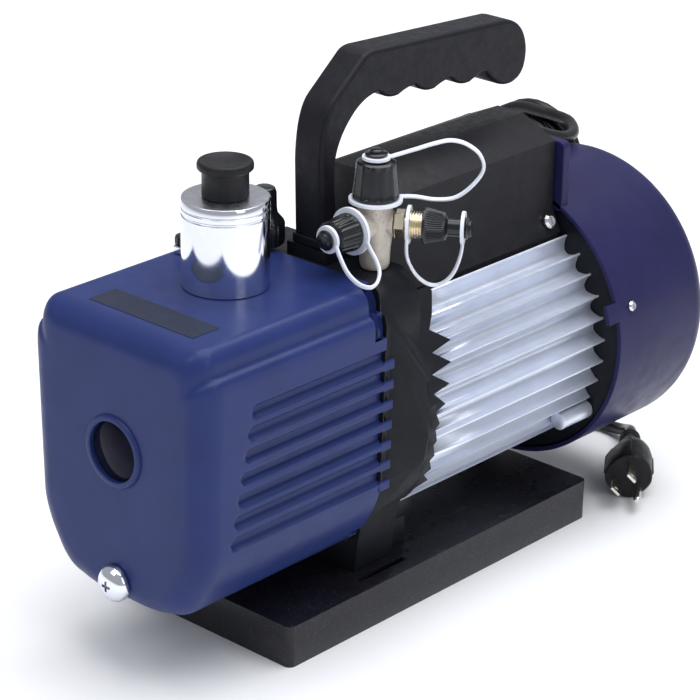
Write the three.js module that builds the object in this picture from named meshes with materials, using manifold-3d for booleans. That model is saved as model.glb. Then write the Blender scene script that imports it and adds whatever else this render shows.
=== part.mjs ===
// Two-stage rotary vane vacuum pump for air-conditioning service.
// Millimetres, +Z up. The oil cover and sight glass face -Y, the motor fan is at +Y, and the
// shaft lies along Y above the middle of the base pan. The origin is on the resting plane, at
// the middle of the machine's length and width.
import * as THREE from 'three';
import { mergeVertices } from 'three/addons/utils/BufferGeometryUtils.js';
import { ConvexGeometry } from 'three/addons/geometries/ConvexGeometry.js';
import Module from 'manifold-3d';

const wasm = await Module();
wasm.setup();

const radians = THREE.MathUtils.degToRad;

// ---------------------------------------------------------------- driving dimensions
const GAP = 0.3; // between neighbouring pieces
const AXIS_Z = 112; // height of the shaft
const BASE = { halfWidth: 62, front: -127, rear: 123, height: 24, wall: 2, corner: 4 };
const COVER = { front: -191, rear: -58.2, top: 195, wall: 4, edge: 14, middleZ: 120 };
const HOUSING = { front: -57, rear: -27, crownRear: -22, top: 192, bottom: BASE.height + GAP };
const COLLAR = { inner: 64.7, outer: 72.8, front: -42, rear: 2 };
const PAD = { front: -51, top: HOUSING.top + 7 };
const STATOR = { front: HOUSING.rear + GAP, rear: 119.5, tip: 73, barrel: 64, bore: 57 };
const FINS = { first: 54.9, pitch: 10.4, count: 9 };
const TIE_BOLT = { radius: 74, angle: -34.5, boss: 5.2, rod: 2.2 };
const FAN_COVER = { radius: 84.5, front: 118, rear: 204, wall: 2.5, edge: 14 };
const BOX = { front: -21, rear: 116, top: 237, shoulder: 226, halfWidth: 33, wall: 2.5 };
const SHAFT = { radius: 7, front: -128, rear: 172 };
const EXHAUST = { y: -111, radius: 23, bottom: COVER.top + GAP, top: 243, mouth: 9.4 };
const TEE = { x: 33.2, y: -34, axisZ: 217, bottom: HOUSING.top + GAP, thread: 7.4 };
const RIGHT_ARM_TURN = radians(-56);
const GRIP_WIDTH = 20.5;

// The mains lead: its coil stands behind the fan cover and its plug lies on the floor.
const CORD = { radius: 3.7, pitch: 7.7, sides: 10 };
const GLAND = { x: -12, z: 213, length: 28 };
const COIL = { x: -60, upperZ: 169, lowerZ: 37.7, bend: 33.5, frontY: 208.5 };
const PLUG = { x: 65.5, y: 159, z: 14.4, turn: radians(-143.8), roll: radians(45), length: 58 };

// ---------------------------------------------------------------- materials
const finish = (color, roughness, metalness) =>
  new THREE.MeshStandardMaterial({ color, roughness, metalness });
const BLUE_PAINT = finish(0x384076, 0.42, 0.1);
const BLACK_CASTING = finish(0x23262e, 0.5, 0.2);
const BLACK_PAN = finish(0x15151b, 0.35, 0.3);
const BLACK_PLASTIC = finish(0x1c1c22, 0.6, 0);
const RUBBER = finish(0x111113, 0.75, 0);
const ALUMINIUM = finish(0xc9cedd, 0.35, 0.85);
const STEEL = finish(0xb9bcc4, 0.3, 1);
const CHROME = finish(0xe4e8f2, 0.08, 1);
const BRASS = finish(0xc2b79c, 0.4, 0.9);
const WHITE_PLASTIC = finish(0xe6e8f2, 0.5, 0);
const GLASS = finish(0x3a3a52, 0.1, 0);
const COPPER = finish(0xa8653a, 0.4, 0.8);

const pump = new THREE.Group();

// ---------------------------------------------------------------- geometry helpers
function toSolid(geometry) {
  const bare = geometry.clone();
  bare.deleteAttribute('normal');
  bare.deleteAttribute('uv');
  const merged = mergeVertices(bare, 1e-4);
  const vertProperties = new Float32Array(merged.attributes.position.array);
  const triVerts = new Uint32Array(merged.index.array);
  return new wasm.Manifold(new wasm.Mesh({ numProp: 3, vertProperties, triVerts }));
}

function toGeometry(solid) {
  const mesh = solid.getMesh();
  const geometry = new THREE.BufferGeometry();
  geometry.setAttribute('position', new THREE.BufferAttribute(mesh.vertProperties, 3));
  geometry.setIndex(new THREE.BufferAttribute(mesh.triVerts, 1));
  return geometry;
}

function cut(body, ...tools) {
  return toGeometry(tools.reduce((solid, tool) => solid.subtract(toSolid(tool)), toSolid(body)));
}

function join(body, ...others) {
  return toGeometry(others.reduce((solid, other) => solid.add(toSolid(other)), toSolid(body)));
}

function overlap(a, b) {
  return toGeometry(toSolid(a).intersect(toSolid(b)));
}

function box(x0, x1, y0, y1, z0, z1) {
  const geometry = new THREE.BoxGeometry(x1 - x0, y1 - y0, z1 - z0);
  return geometry.translate((x0 + x1) / 2, (y0 + y1) / 2, (z0 + z1) / 2);
}

// A round bar along Y from y0 to y1, about a point of the XZ plane.
function barY(radius, y0, y1, x = 0, z = 0, sides = 24) {
  const geometry = new THREE.CylinderGeometry(radius, radius, y1 - y0, sides);
  return geometry.translate(x, (y0 + y1) / 2, z);
}

// A round bar along Z from z0 to z1, about a point of the XY plane.
function barZ(radius, z0, z1, x = 0, y = 0, sides = 16) {
  const geometry = new THREE.CylinderGeometry(radius, radius, z1 - z0, sides);
  return geometry.rotateX(Math.PI / 2).translate(x, y, (z0 + z1) / 2);
}

// A turned piece about Y. The profile lists [radius, y], rising on its outer side.
function turnedY(profile, sides = 24) {
  return new THREE.LatheGeometry(profile.map(([r, y]) => new THREE.Vector2(r, y)), sides);
}

// A turned piece about Z. The profile lists [radius, z], rising on its outer side.
function turnedZ(profile, sides = 20) {
  return turnedY(profile, sides).rotateX(Math.PI / 2);
}

// A flat ring about Y.
function ringY(inner, outer, y0, y1, sides = 20) {
  return turnedY([[inner, y0], [outer, y0], [outer, y1], [inner, y1], [inner, y0]], sides);
}

// A closed outline of [x, z] points from its right half, which is listed from bottom to top.
function mirrored(rightHalf) {
  return [...rightHalf, ...rightHalf.map(([x, z]) => [-x, z]).reverse()];
}

// An outline of [x, z] points extruded along Y from y0 to y1.
function extrudeY(outline, y0, y1) {
  const shape = new THREE.Shape(outline.map(([x, z]) => new THREE.Vector2(x, z)));
  const geometry = new THREE.ExtrudeGeometry(shape, { depth: y1 - y0, bevelEnabled: false });
  return geometry.rotateX(Math.PI / 2).translate(0, y1, 0);
}

// A shape drawn in Y and Z, extruded along X and centred on X = 0.
function extrudeX(shape, width, bevel = 0) {
  const settings = {
    depth: width - 2 * bevel,
    curveSegments: 3,
    bevelEnabled: bevel > 0,
    bevelThickness: bevel,
    bevelSize: bevel,
    bevelOffset: -bevel,
    bevelSegments: 1,
  };
  const geometry = new THREE.ExtrudeGeometry(shape, settings);
  const turn = new THREE.Matrix4().makeBasis(
    new THREE.Vector3(0, 1, 0),
    new THREE.Vector3(0, 0, 1),
    new THREE.Vector3(1, 0, 0),
  );
  return geometry.translate(0, 0, bevel - width / 2).applyMatrix4(turn);
}

// A round tube along a smooth curve through the points.
function tube(points, radius, sides, steps) {
  const path = new THREE.CatmullRomCurve3(points.map((p) => new THREE.Vector3(...p)));
  const section = new THREE.Shape();
  for (let i = 0; i < sides; i += 1) {
    const angle = (2 * Math.PI * i) / sides;
    const corner = [radius * Math.cos(angle), radius * Math.sin(angle)];
    if (i === 0) section.moveTo(...corner);
    else section.lineTo(...corner);
  }
  return new THREE.ExtrudeGeometry(section, { extrudePath: path, steps });
}

// The [x, z] of a point at this radius and angle about the shaft.
function aboutShaft(radius, degrees, side = 1) {
  const angle = radians(degrees);
  return [side * radius * Math.cos(angle), AXIS_Z + radius * Math.sin(angle)];
}

function add(name, geometry, material, parent = pump) {
  const mesh = new THREE.Mesh(geometry, material);
  mesh.name = name;
  parent.add(mesh);
  return mesh;
}

// A slotted pan-head screw along +Z, with its head above Z = 0 and its shank below.
const SHANK_SHARE = 0.45;
function screwGeometry(radius, shank) {
  const thin = radius * SHANK_SHARE;
  const profile = [[0, -shank], [thin, -shank], [thin, 0], [radius, 0], [radius, radius * 0.3],
    [radius * 0.7, radius * 0.65], [0, radius * 0.65]];
  const slot = box(-radius * 0.5, radius * 0.5, -0.5, 0.5, radius * 0.4, radius);
  return cut(turnedZ(profile, 10), slot);
}

// ---------------------------------------------------------------- base pan
const FOOT_BOLT = { x: 28, y: -38, head: 5.4, shank: 17 };

function roundedPlan(inset) {
  const x = BASE.halfWidth - inset;
  const front = BASE.front + inset;
  const rear = BASE.rear - inset;
  const r = BASE.corner - inset;
  const plan = new THREE.Shape();
  plan.absarc(x - r, front + r, r, -Math.PI / 2, 0);
  plan.absarc(x - r, rear - r, r, 0, Math.PI / 2);
  plan.absarc(-x + r, rear - r, r, Math.PI / 2, Math.PI);
  plan.absarc(-x + r, front + r, r, Math.PI, 1.5 * Math.PI);
  return plan;
}

function makeBasePan() {
  const { height, wall } = BASE;
  const pressed = (inset, depth) => new THREE.ExtrudeGeometry(
    roundedPlan(inset), { depth, bevelEnabled: false, curveSegments: 4 });
  const inside = pressed(wall, height).translate(0, 0, -wall);
  const lid = [height - 2 * wall, height + wall];
  const tools = [];
  for (const side of [-1, 1]) {
    tools.push(box(side * 51 - 2, side * 51 + 2, -62, -26, ...lid));
    tools.push(barZ(FOOT_BOLT.head * SHANK_SHARE + GAP, ...lid, side * FOOT_BOLT.x,
      FOOT_BOLT.y, 16));
  }
  add('base_pan', cut(pressed(0, height), inside, ...tools), BLACK_PAN);
}

function makeFootBolts() {
  const { x, y, head, shank } = FOOT_BOLT;
  for (const [name, side] of [['foot_bolt_left', -1], ['foot_bolt_right', 1]]) {
    const bolt = add(name, screwGeometry(head, shank), STEEL);
    bolt.position.set(side * x, y, BASE.height - BASE.wall - GAP);
    bolt.rotation.x = Math.PI;
  }
}

// ---------------------------------------------------------------- pump housing
// The housing's saw-toothed rear edge seen from the side: everything ahead of it, moved back
// by a clearance. The tips are listed from the top one down.
const TEETH = {
  brow: 171, first: 150, pitch: 9.8, rise: 7.6, depth: 11.5, foot: 62,
  tips: [-4, -9, -14, -19, -24, -25, -24, -22, -18],
};

function sawEdge(clearance) {
  const { brow, first, pitch, rise, depth, foot, tips } = TEETH;
  const edge = new THREE.Shape();
  edge.moveTo(COLLAR.front - 1, 200);
  edge.lineTo(COLLAR.rear + clearance, 200);
  edge.lineTo(COLLAR.rear + clearance, brow);
  tips.forEach((tip, i) => {
    const z = first - pitch * i;
    edge.lineTo(Math.max(tip - depth, HOUSING.rear) + clearance, z + rise);
    edge.lineTo(tip + clearance, z);
  });
  const lastNotch = first - pitch * tips.length + rise;
  edge.lineTo(HOUSING.rear + clearance, lastNotch);
  edge.lineTo(HOUSING.rear + clearance, foot);
  edge.lineTo(COLLAR.front - 1, foot);
  return extrudeX(edge, 200);
}

// The flared collar behind the housing, whose teeth reach over the motor's fins.
function makeCollar() {
  const { inner, outer, front, rear } = COLLAR;
  const profile = [[50, front], [58, front], [outer, -31], [outer, rear], [inner, rear],
    [inner, HOUSING.rear], [50, HOUSING.rear], [50, front]];
  return overlap(turnedY(profile, 40).translate(0, 0, AXIS_Z), sawEdge(0));
}

// The flank that widens from the outline of the housing's flat face to the collar.
function makeFlank(face) {
  const points = [];
  for (const [x, z] of face.filter((corner) => corner[1] > 50)) {
    points.push(new THREE.Vector3(x, PAD.front + 0.6, z));
  }
  for (const side of [-1, 1]) {
    for (let degrees = -40; degrees <= 56; degrees += 12) {
      const [x, z] = aboutShaft(COLLAR.outer, degrees, side);
      points.push(new THREE.Vector3(x, -33, z), new THREE.Vector3(x, HOUSING.rear, z));
    }
  }
  return new ConvexGeometry(points);
}

// Each cover screw stands in a notch at a rear corner of the oil cover.
const COVER_SCREWS = [
  { name: 'cover_screw_right_top', x: 55.5, z: 174 },
  { name: 'cover_screw_right_low', x: 40, z: 47.5 },
  { name: 'cover_screw_left_top', x: -55.5, z: 174 },
  { name: 'cover_screw_left_low', x: -40, z: 47.5 },
];
const COVER_SCREW = { head: 3.6, shank: 2, seat: COVER.rear - 3.5, rear: -42 };

function makeHousing() {
  const { front, rear, crownRear, top, bottom } = HOUSING;
  const face = mirrored([[43, bottom], [45, 42], [48, 56], [55, 78], [59, 100], [60, 130],
    [60, 170], [57.5, 180], [51, 188], [42, top]]);
  const crown = mirrored([[55, 140], [55, 176], [50, 187], [42, top]]);
  const slab = extrudeY(face, front, rear);
  const crownBlock = extrudeY(crown, rear - 1, crownRear);
  const foot = box(-38, 38, -47, -11, bottom, 40);
  const motorPocket = barY(STATOR.tip + 0.6, rear, 5, 0, AXIS_Z, 40);
  const handlePad = box(-14, 14, PAD.front, crownRear, top - 1, PAD.top);
  const block = join(slab, crownBlock, foot, makeFlank(face));
  const body = join(cut(block, motorPocket), makeCollar(), handlePad);
  const shaftHole = barY(SHAFT.radius + 1.5, front - 1, rear + 1, 0, AXIS_Z);
  const bearingSeat = barY(16 + GAP, rear - 10, rear + 1, 0, AXIS_Z);
  const inletPort = barZ(4, 160, top + 1, TEE.x, TEE.y, 12);
  const screwHoles = COVER_SCREWS.map(({ x, z }) =>
    barY(COVER_SCREW.shank + GAP, front - 1, COVER_SCREW.rear + 1, x, z, 12));
  const boltHoles = [-1, 1].map((side) => barZ(FOOT_BOLT.head * SHANK_SHARE + GAP, 20, 41,
    side * FOOT_BOLT.x, FOOT_BOLT.y, 16));
  const holes = [shaftHole, bearingSeat, inletPort, ...screwHoles, ...boltHoles];
  add('pump_housing', cut(body, ...holes), BLACK_CASTING);
}

// ---------------------------------------------------------------- oil cover and its fittings
const COVER_BODY = [[22, 39.5], [40, 44], [47, 50], [57, 66], [62, 80], [64.5, 174], [63, 180]];
const COVER_SLAB = [[59.5, 150], [59.5, 187], [58.2, 191.5], [55, COVER.top]];
const COVER_HALF_WIDTH = 64.5;
const COVER_HALF_HEIGHT = 75;

// The outline shrunk by an inset towards the middle of the cover.
function coverSection(rightHalf, inset) {
  const wide = 1 - inset / COVER_HALF_WIDTH;
  const high = 1 - inset / COVER_HALF_HEIGHT;
  const { middleZ } = COVER;
  return mirrored(rightHalf).map(([x, z]) => [x * wide, middleZ + (z - middleZ) * high]);
}

// A block with that outline and a rounded front edge, moved in by the inset.
function coverBlock(rightHalf, inset, rear) {
  const edge = COVER.edge - inset;
  const front = COVER.front + inset;
  const points = [];
  const section = (depth, y) => {
    for (const [x, z] of coverSection(rightHalf, inset + depth)) {
      points.push(new THREE.Vector3(x, y, z));
    }
  };
  for (const degrees of [0, 30, 60, 90]) {
    const turn = radians(degrees);
    section(edge * (1 - Math.sin(turn)), front + edge * (1 - Math.cos(turn)));
  }
  section(0, rear);
  return new ConvexGeometry(points);
}

const SIGHT = { z: 127, port: 18.3 };
const DRAIN = { z: 53.2, radius: 10, neck: 3.4, front: -199, back: COVER.front - GAP };

// How far out the cover's side is at this height.
const coverSide = (z) => COVER_HALF_WIDTH - (174 - z) * 0.0266;

// The block of the cover's corner that its screw stands in: [x0, x1, z0, z1].
function cornerOf({ x, z }) {
  const side = Math.sign(x);
  const out = side * (COVER_HALF_WIDTH + 2);
  const edges = [x - side * (z > 100 ? 4.2 : 6), out].sort((a, b) => a - b);
  return z > 100 ? [...edges, z - 6, COVER.top + 2] : [...edges, 30, z + 6.5];
}

// A rib stands under each side groove, and its tail reaches past the cover's rear edge.
const RIBS = { count: 7, topGroove: 157, pitch: 11.6, thickness: 2.2, halfHeight: 2.8 };

function ribTails(clearance) {
  const tails = [];
  const halfHeight = RIBS.halfHeight + clearance;
  for (let i = 0; i < RIBS.count; i += 1) {
    const z = RIBS.topGroove - RIBS.pitch * (i + 0.5);
    const outer = coverSide(z) + clearance;
    const inner = outer - RIBS.thickness - 2 * clearance;
    for (const [x0, x1] of [[inner, outer], [-outer, -inner]]) {
      tails.push(box(x0, x1, COVER.rear - 1, PAD.front - 0.2, z - halfHeight, z + halfHeight));
    }
  }
  return tails;
}

function makeOilCover() {
  const { rear, wall, top, front } = COVER;
  const outside = join(coverBlock(COVER_BODY, 0, rear), coverBlock(COVER_SLAB, 0, rear));
  let inside = join(coverBlock(COVER_BODY, wall, rear + 2),
    coverBlock(COVER_SLAB, wall, rear + 2));
  const cutters = [];
  const notch = 9;
  for (const screw of COVER_SCREWS) {
    const { x, z } = screw;
    const [x0, x1, z0, z1] = cornerOf(screw);
    inside = cut(inside, box(x0 - 3.5, x1 + 3.5, rear - notch - 4, rear + 3, z0 - 2.5, z1 + 2.5));
    cutters.push(box(x0, x1, rear - notch, COVER_SCREW.seat, z0, z1));
    const beyond = x > 0 ? [x + 5, x1] : [x0, x - 5];
    cutters.push(box(...beyond, rear - notch, rear + 1, z0, z1));
    if (z > 100) cutters.push(box(x0, x1, rear - notch, rear + 1, z + 7, z1));
    cutters.push(barY(COVER_SCREW.shank + GAP, COVER_SCREW.seat - 1, rear + 1, x, z, 12));
  }
  for (let i = 0; i < RIBS.count; i += 1) {
    const z = RIBS.topGroove - RIBS.pitch * i;
    for (const x of [-coverSide(z), coverSide(z)]) {
      cutters.push(barY(2.6, -153 - 2.2 * i, rear + 1, x, z, 6));
    }
  }
  cutters.push(barY(SIGHT.port, front - 2, front + 20, 0, SIGHT.z, 28));
  cutters.push(barZ(9, top - 20, top + 5, 0, EXHAUST.y));
  cutters.push(barY(DRAIN.neck + GAP, front - 2, front + 14, 0, DRAIN.z, 16));
  add('oil_cover', cut(join(outside, ...ribTails(0)), inside, ...cutters), BLUE_PAINT);
}

function makeCoverScrews() {
  const { head, shank, seat, rear } = COVER_SCREW;
  const under = seat - GAP;
  const front = under - head;
  const profile = [[0, front], [head, front], [head, under], [shank, under], [shank, rear],
    [0, rear]];
  const socket = barY(1.7, front - 1, front + 2, 0, 0, 6);
  const geometry = cut(turnedY(profile, 12), socket);
  for (const { name, x, z } of COVER_SCREWS) {
    add(name, geometry, BLACK_CASTING).position.set(x, 0, z);
  }
}

function makeCoverGasket() {
  const [y0, y1] = [COVER.rear + GAP, HOUSING.front - GAP];
  const layer = (inset, from, to) => join(
    extrudeY(coverSection([...COVER_BODY], inset), from, to),
    extrudeY(coverSection([...COVER_SLAB], inset), from, to));
  const holes = COVER_SCREWS.map(({ x, z }) =>
    barY(COVER_SCREW.shank + GAP, y0 - 1, y1 + 1, x, z, 8));
  add('cover_gasket', cut(layer(0.6, y0, y1), layer(4.5, y0 - 1, y1 + 1), ...ribTails(GAP), ...holes), RUBBER);
}

function makeSightGlass() {
  const face = COVER.front;
  const bezel = [[16.4, face - 1.8], [18.6, face - 1.8], [20, face - GAP],
    [SIGHT.port - GAP, face - GAP], [SIGHT.port - GAP, face + 5], [16.4, face + 5],
    [16.4, face - 1.8]];
  add('sight_glass_bezel', turnedY(bezel, 28), BLUE_PAINT).position.z = SIGHT.z;
  add('sight_glass', barY(16, face + 1, face + 4.5, 0, 0, 28), GLASS).position.z = SIGHT.z;
}

// A domed disc with a cross recess, on a neck that enters the cover.
function makeDrainPlug() {
  const { z, radius, neck, front, back } = DRAIN;
  const profile = [[0, front], [4.5, front + 0.5], [8, front + 2.2], [radius, back - 2.6],
    [radius, back], [neck, back], [neck, back + 14], [0, back + 14]];
  const across = box(-3, 3, front - 1, front + 2.4, -0.8, 0.8);
  const upright = box(-0.8, 0.8, front - 1, front + 2.4, -3, 3);
  add('drain_plug', cut(turnedY(profile, 24), across, upright), CHROME).position.z = z;
}

// ---------------------------------------------------------------- exhaust and top fittings
function makeExhaust() {
  const { y, radius, bottom, top, mouth } = EXHAUST;
  const wall = 2;
  const neck = { inner: 6.6, outer: 8.6, depth: 12 };
  const groove = top - 8;
  const can = [[neck.inner, bottom - neck.depth], [neck.outer, bottom - neck.depth],
    [neck.outer, bottom], [radius, bottom], [radius, groove - 1], [radius - 0.7, groove - 0.6],
    [radius - 0.7, groove + 0.6], [radius, groove + 1], [radius, top - 1], [radius - 1, top],
    [mouth, top], [mouth, top - wall], [radius - wall, top - wall],
    [radius - wall, bottom + wall], [neck.inner, bottom + wall],
    [neck.inner, bottom - neck.depth]];
  add('exhaust_body', turnedZ(can, 24), CHROME).position.y = y;
  const plug = [[0, top - 12], [8.6, top - 12], [mouth - GAP, top + GAP], [12, top + GAP],
    [12.2, top + 13], [14.2, top + 14.4], [14.6, top + 17.6], [13.4, top + 19.2],
    [11, top + 19.2], [9, top + 17.8], [0, top + 17.8]];
  add('exhaust_plug', turnedZ(plug, 18), RUBBER).position.y = y;
}

function makeTopFittings() {
  const knob = [[0, 197], [9.5, 197], [11, 199], [11, 209], [9, 212], [7, 214.5], [6.4, 227],
    [4.5, 229], [0, 229]];
  add('gas_ballast_knob', turnedZ(knob, 20), BLACK_PLASTIC).position.set(-23.5, -58.5, 0);
  const fitting = [[0, COVER.top + GAP], [6, COVER.top + GAP], [6, 199.4], [0, 199.4]];
  add('fill_fitting', turnedZ(fitting, 6), STEEL).position.set(-48, -94, 0);
  const cap = [[0, 199.7], [5, 199.7], [5, 203.6], [3.6, 205], [0, 205]];
  add('fill_cap', turnedZ(cap, 16), BLACK_PLASTIC).position.set(-48, -94, 0);
}

// ---------------------------------------------------------------- intake tee, caps and straps
// An arm's own Y axis points outwards along it.
function armGroup(turn) {
  const arm = new THREE.Group();
  arm.position.set(TEE.x, TEE.y, TEE.axisZ);
  arm.rotation.z = turn;
  pump.add(arm);
  return arm;
}
const leftArm = armGroup(Math.PI);
const rightArm = armGroup(RIGHT_ARM_TURN);
const upright = armGroup(RIGHT_ARM_TURN);
const SHOULDER = 11.6; // the tee body's upper shoulder, above the arms' axis

function makeTee() {
  const foot = TEE.bottom - TEE.axisZ;
  const profile = [[0, foot], [7.2, foot], [8, foot + 2], [9.2, 1], [9.2, SHOULDER],
    [TEE.thread, SHOULDER], [TEE.thread, 26], [0, 26]];
  const rightStub = barY(6, 0, 10, 0, 0, 16);
  const leftStub = barY(TEE.thread, 0, 28, 0, 0, 20).rotateZ(Math.PI - RIGHT_ARM_TURN);
  const inlet = barZ(4, foot - 1, -8, 0, 0, 12);
  add('inlet_tee', cut(join(turnedZ(profile), rightStub, leftStub), inlet), BRASS, upright);
}

function makeAdapter() {
  const hexagon = turnedY([[0, 10.3], [8, 10.3], [8, 16.4], [0, 16.4]], 6);
  const thread = barY(TEE.thread, 16.3, 30.8, 0, 0, 20);
  add('inlet_adapter', join(hexagon, thread), BRASS, rightArm);
}

const TOP_CAP = {
  start: SHOULDER + 2.8, mouth: 12.5, depth: 13, body: 10.7, length: 19.8,
  neck: { radius: 3.4, length: 2.8 }, nub: { flange: 6, tip: 3.4 },
};
const LEFT_CAP = {
  start: 20, mouth: 10.2, depth: 9.6, body: 9.2, length: 14.5,
  neck: { radius: 3.4, length: 2.8 }, nub: { flange: 5.4, tip: 4.2 },
};
const RIGHT_CAP = {
  start: 25.3, mouth: 9.6, depth: 6, body: 7.4, length: 12.6,
  neck: { radius: 4.8, length: 9.5 }, nub: { flange: 6, tip: 4.6 },
};
const EYE_THICKNESS = 1.8;

// A screw cap with its mouth at the start, and beyond its end a neck and a flanged nub.
function capGeometry({ start, mouth, depth, body, length, neck, nub }, turned) {
  const bore = TEE.thread + GAP;
  const end = start + length;
  const flange = end + neck.length + GAP;
  return turned([[0, start + depth], [bore, start + depth], [bore, start], [mouth, start],
    [body, end], [neck.radius, end + GAP], [neck.radius, end + neck.length], [nub.flange, flange],
    [nub.flange, flange + 1], [nub.tip, flange + 1.4], [nub.tip, flange + 2.8],
    [0, flange + 3.2]], 16);
}

function makeCaps() {
  add('flare_cap_top', capGeometry(TOP_CAP, turnedZ), BLACK_PLASTIC, upright);
  add('flare_cap_left', capGeometry(LEFT_CAP, turnedY), BLACK_PLASTIC, leftArm);
  add('flare_cap_right', capGeometry(RIGHT_CAP, turnedY), BLACK_PLASTIC, rightArm);
}

// A tether: an eye round the arm, an eye round the cap's neck, and the loop between them.
// The arm's eye starts at this distance along the arm.
function tether(loop, eyeStart, eyeRadius, { start, length, neck }, turnEye = (eye) => eye) {
  const neckEyeEnd = start + length + neck.length - GAP;
  const armEye = ringY(TEE.thread + 0.4, eyeRadius, eyeStart, eyeStart + EYE_THICKNESS, 16);
  const neckEye = ringY(neck.radius + 0.7, neck.radius + 4, neckEyeEnd - EYE_THICKNESS,
    neckEyeEnd, 12);
  return join(tube(loop, 1.3, 6, 16), turnEye(armEye), turnEye(neckEye));
}

function makeStraps() {
  const left = [[-10.7, 18.8, -2.5], [-14.6, 19, -7.4], [-19.5, 20.7, -10.6],
    [-24.5, 23.5, -14.6], [-27.5, 28.7, -18.3], [-27.5, 34, -19.4], [-23, 37.6, -17.8],
    [-16, 38.4, -13.5], [-10, 37.6, -7], [-5.6, 36.2, -2]];
  add('cap_strap_left', tether(left, 17.8, 12.8, LEFT_CAP), WHITE_PLASTIC, leftArm);
  const right = [[7.4, 17.6, -4.6], [6.5, 17.7, -14.6], [5, 19.9, -21.7], [3, 23.5, -27.8],
    [1, 28.1, -31.9], [0, 33.3, -32.8], [0, 38.5, -29.6], [0, 42.5, -23.7], [0, 45.2, -15.1],
    [0, 46.2, -7]];
  add('cap_strap_right', tether(right, 16.8, 10.2, RIGHT_CAP), WHITE_PLASTIC, rightArm);
  const top = [[-6.4, 10.6, 12.8], [-8, 19.6, 12.7], [-10, 29.9, 11.1], [-9.5, 40.4, 13],
    [-8, 49.2, 20.5], [-7, 55, 30], [-6, 53.1, 38.4], [-5, 46.3, 44], [-4, 38.5, 46],
    [-3, 30.4, 44.4], [-2, 19.7, 40.6], [-0.8, 6.2, 35.9]];
  add('cap_strap_top', tether(top, SHOULDER + GAP, 14.2, TOP_CAP,
    (eye) => eye.rotateX(Math.PI / 2)), WHITE_PLASTIC, upright);
}

// ---------------------------------------------------------------- carrying handle
function handleSide() {
  const foot = PAD.top + GAP;
  const side = new THREE.Shape();
  side.moveTo(-49.8, foot);
  side.lineTo(-51, 245);
  side.quadraticCurveTo(-50.5, 272, -41, 280);
  side.lineTo(-19, 298);
  side.quadraticCurveTo(-16, 300.3, -11, 300.3);
  side.lineTo(98, 294.5);
  side.quadraticCurveTo(115.5, 291, 116.8, 274);
  side.quadraticCurveTo(117, 257.5, 103, 256.6);
  side.quadraticCurveTo(91, 256.6, 82.5, 267.7);
  // Three finger scallops along the underside, rising towards the front.
  const pitch = 29.4;
  const rise = 2.9;
  for (let i = 0; i < 3; i += 1) {
    const y = 82.5 - pitch * i;
    const z = 267.7 + rise * i;
    side.quadraticCurveTo(y - 6, z + 0.6, y - 14, z - 2.6);
    side.quadraticCurveTo(y - 23, z - 3.4, y - pitch, z + rise);
  }
  side.quadraticCurveTo(-18, 276, -27.4, 266.5);
  side.quadraticCurveTo(-40, 254, -39.5, 238);
  side.quadraticCurveTo(-38.6, 218, -36.4, foot);
  return side;
}

function makeHandle() {
  const foot = PAD.top + GAP;
  const grip = extrudeX(handleSide(), GRIP_WIDTH, 3);
  const flange = box(-11.6, 11.6, PAD.front + 0.4, -34, foot, foot + 5);
  add('handle', join(grip, flange), BLACK_PLASTIC);
}

// ---------------------------------------------------------------- motor
// A cooling fin on one side of the barrel, tapering from its root to its tip.
function fin(degrees, side) {
  const { barrel, tip, front, rear } = STATOR;
  const root = barrel - 2;
  const outline = [aboutShaft(root, degrees - 2.1, side), aboutShaft(tip, degrees - 0.6, side),
    aboutShaft(tip, degrees + 0.6, side), aboutShaft(root, degrees + 2.1, side)];
  return extrudeY(outline, front, rear);
}

function makeStatorFrame() {
  const { front, rear, barrel, bore } = STATOR;
  const pieces = [];
  for (const side of [-1, 1]) {
    for (let i = 0; i < FINS.count; i += 1) pieces.push(fin(FINS.first - FINS.pitch * i, side));
    for (const degrees of [TIE_BOLT.angle, -45, -55, -65, -75, -85]) {
      pieces.push(fin(degrees, side));
    }
    const [x, z] = aboutShaft(TIE_BOLT.radius, TIE_BOLT.angle, side);
    pieces.push(barY(TIE_BOLT.boss, rear - 26, rear, x, z, 12));
  }
  const holes = [-1, 1].map((side) => {
    const [x, z] = aboutShaft(TIE_BOLT.radius, TIE_BOLT.angle, side);
    return barY(TIE_BOLT.rod + GAP, front - 1, rear + 1, x, z, 12);
  });
  const collarRoom = overlap(ringY(COLLAR.inner - GAP, 90, -60, 20, 40).translate(0, 0, AXIS_Z),
    sawEdge(GAP));
  const inside = barY(bore, front - 2, rear + 2, 0, AXIS_Z, 32);
  const wireHole = barZ(9, 160, 190, 0, 60, 12);
  const frame = join(barY(barrel, front, rear, 0, AXIS_Z, 40), ...pieces);
  add('stator_frame', cut(frame, inside, collarRoom, wireHole, ...holes), ALUMINIUM);
}

const SHIELD = { front: STATOR.rear + GAP, rear: STATOR.rear + 6, radius: 81.2 };

function makeTieBolts() {
  const { radius, angle, rod } = TIE_BOLT;
  const seat = SHIELD.rear + GAP;
  const profile = [[0, STATOR.rear - 22], [rod, STATOR.rear - 22], [rod, seat], [3.3, seat],
    [3.3, seat + 3], [0, seat + 3]];
  for (const [name, side] of [['tie_bolt_left', -1], ['tie_bolt_right', 1]]) {
    const [x, z] = aboutShaft(radius, angle, side);
    add(name, turnedY(profile, 12), STEEL).position.set(x, 0, z);
  }
}

const core = new THREE.Group();
core.position.z = AXIS_Z;
pump.add(core);

function makeMotorCore() {
  add('stator_core', ringY(46.3, 56.6, 22, 92, 32), STEEL, core);
  add('stator_winding', ringY(37.5, 46, 7.6, 106.4, 32), COPPER, core);
  const bearing = (y) => ringY(SHAFT.radius + GAP, 16, y, y + 9);
  add('front_bearing', bearing(HOUSING.rear - 9.6), STEEL, core);
  add('rear_bearing', bearing(SHIELD.front + 0.6), STEEL, core);
}

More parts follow.
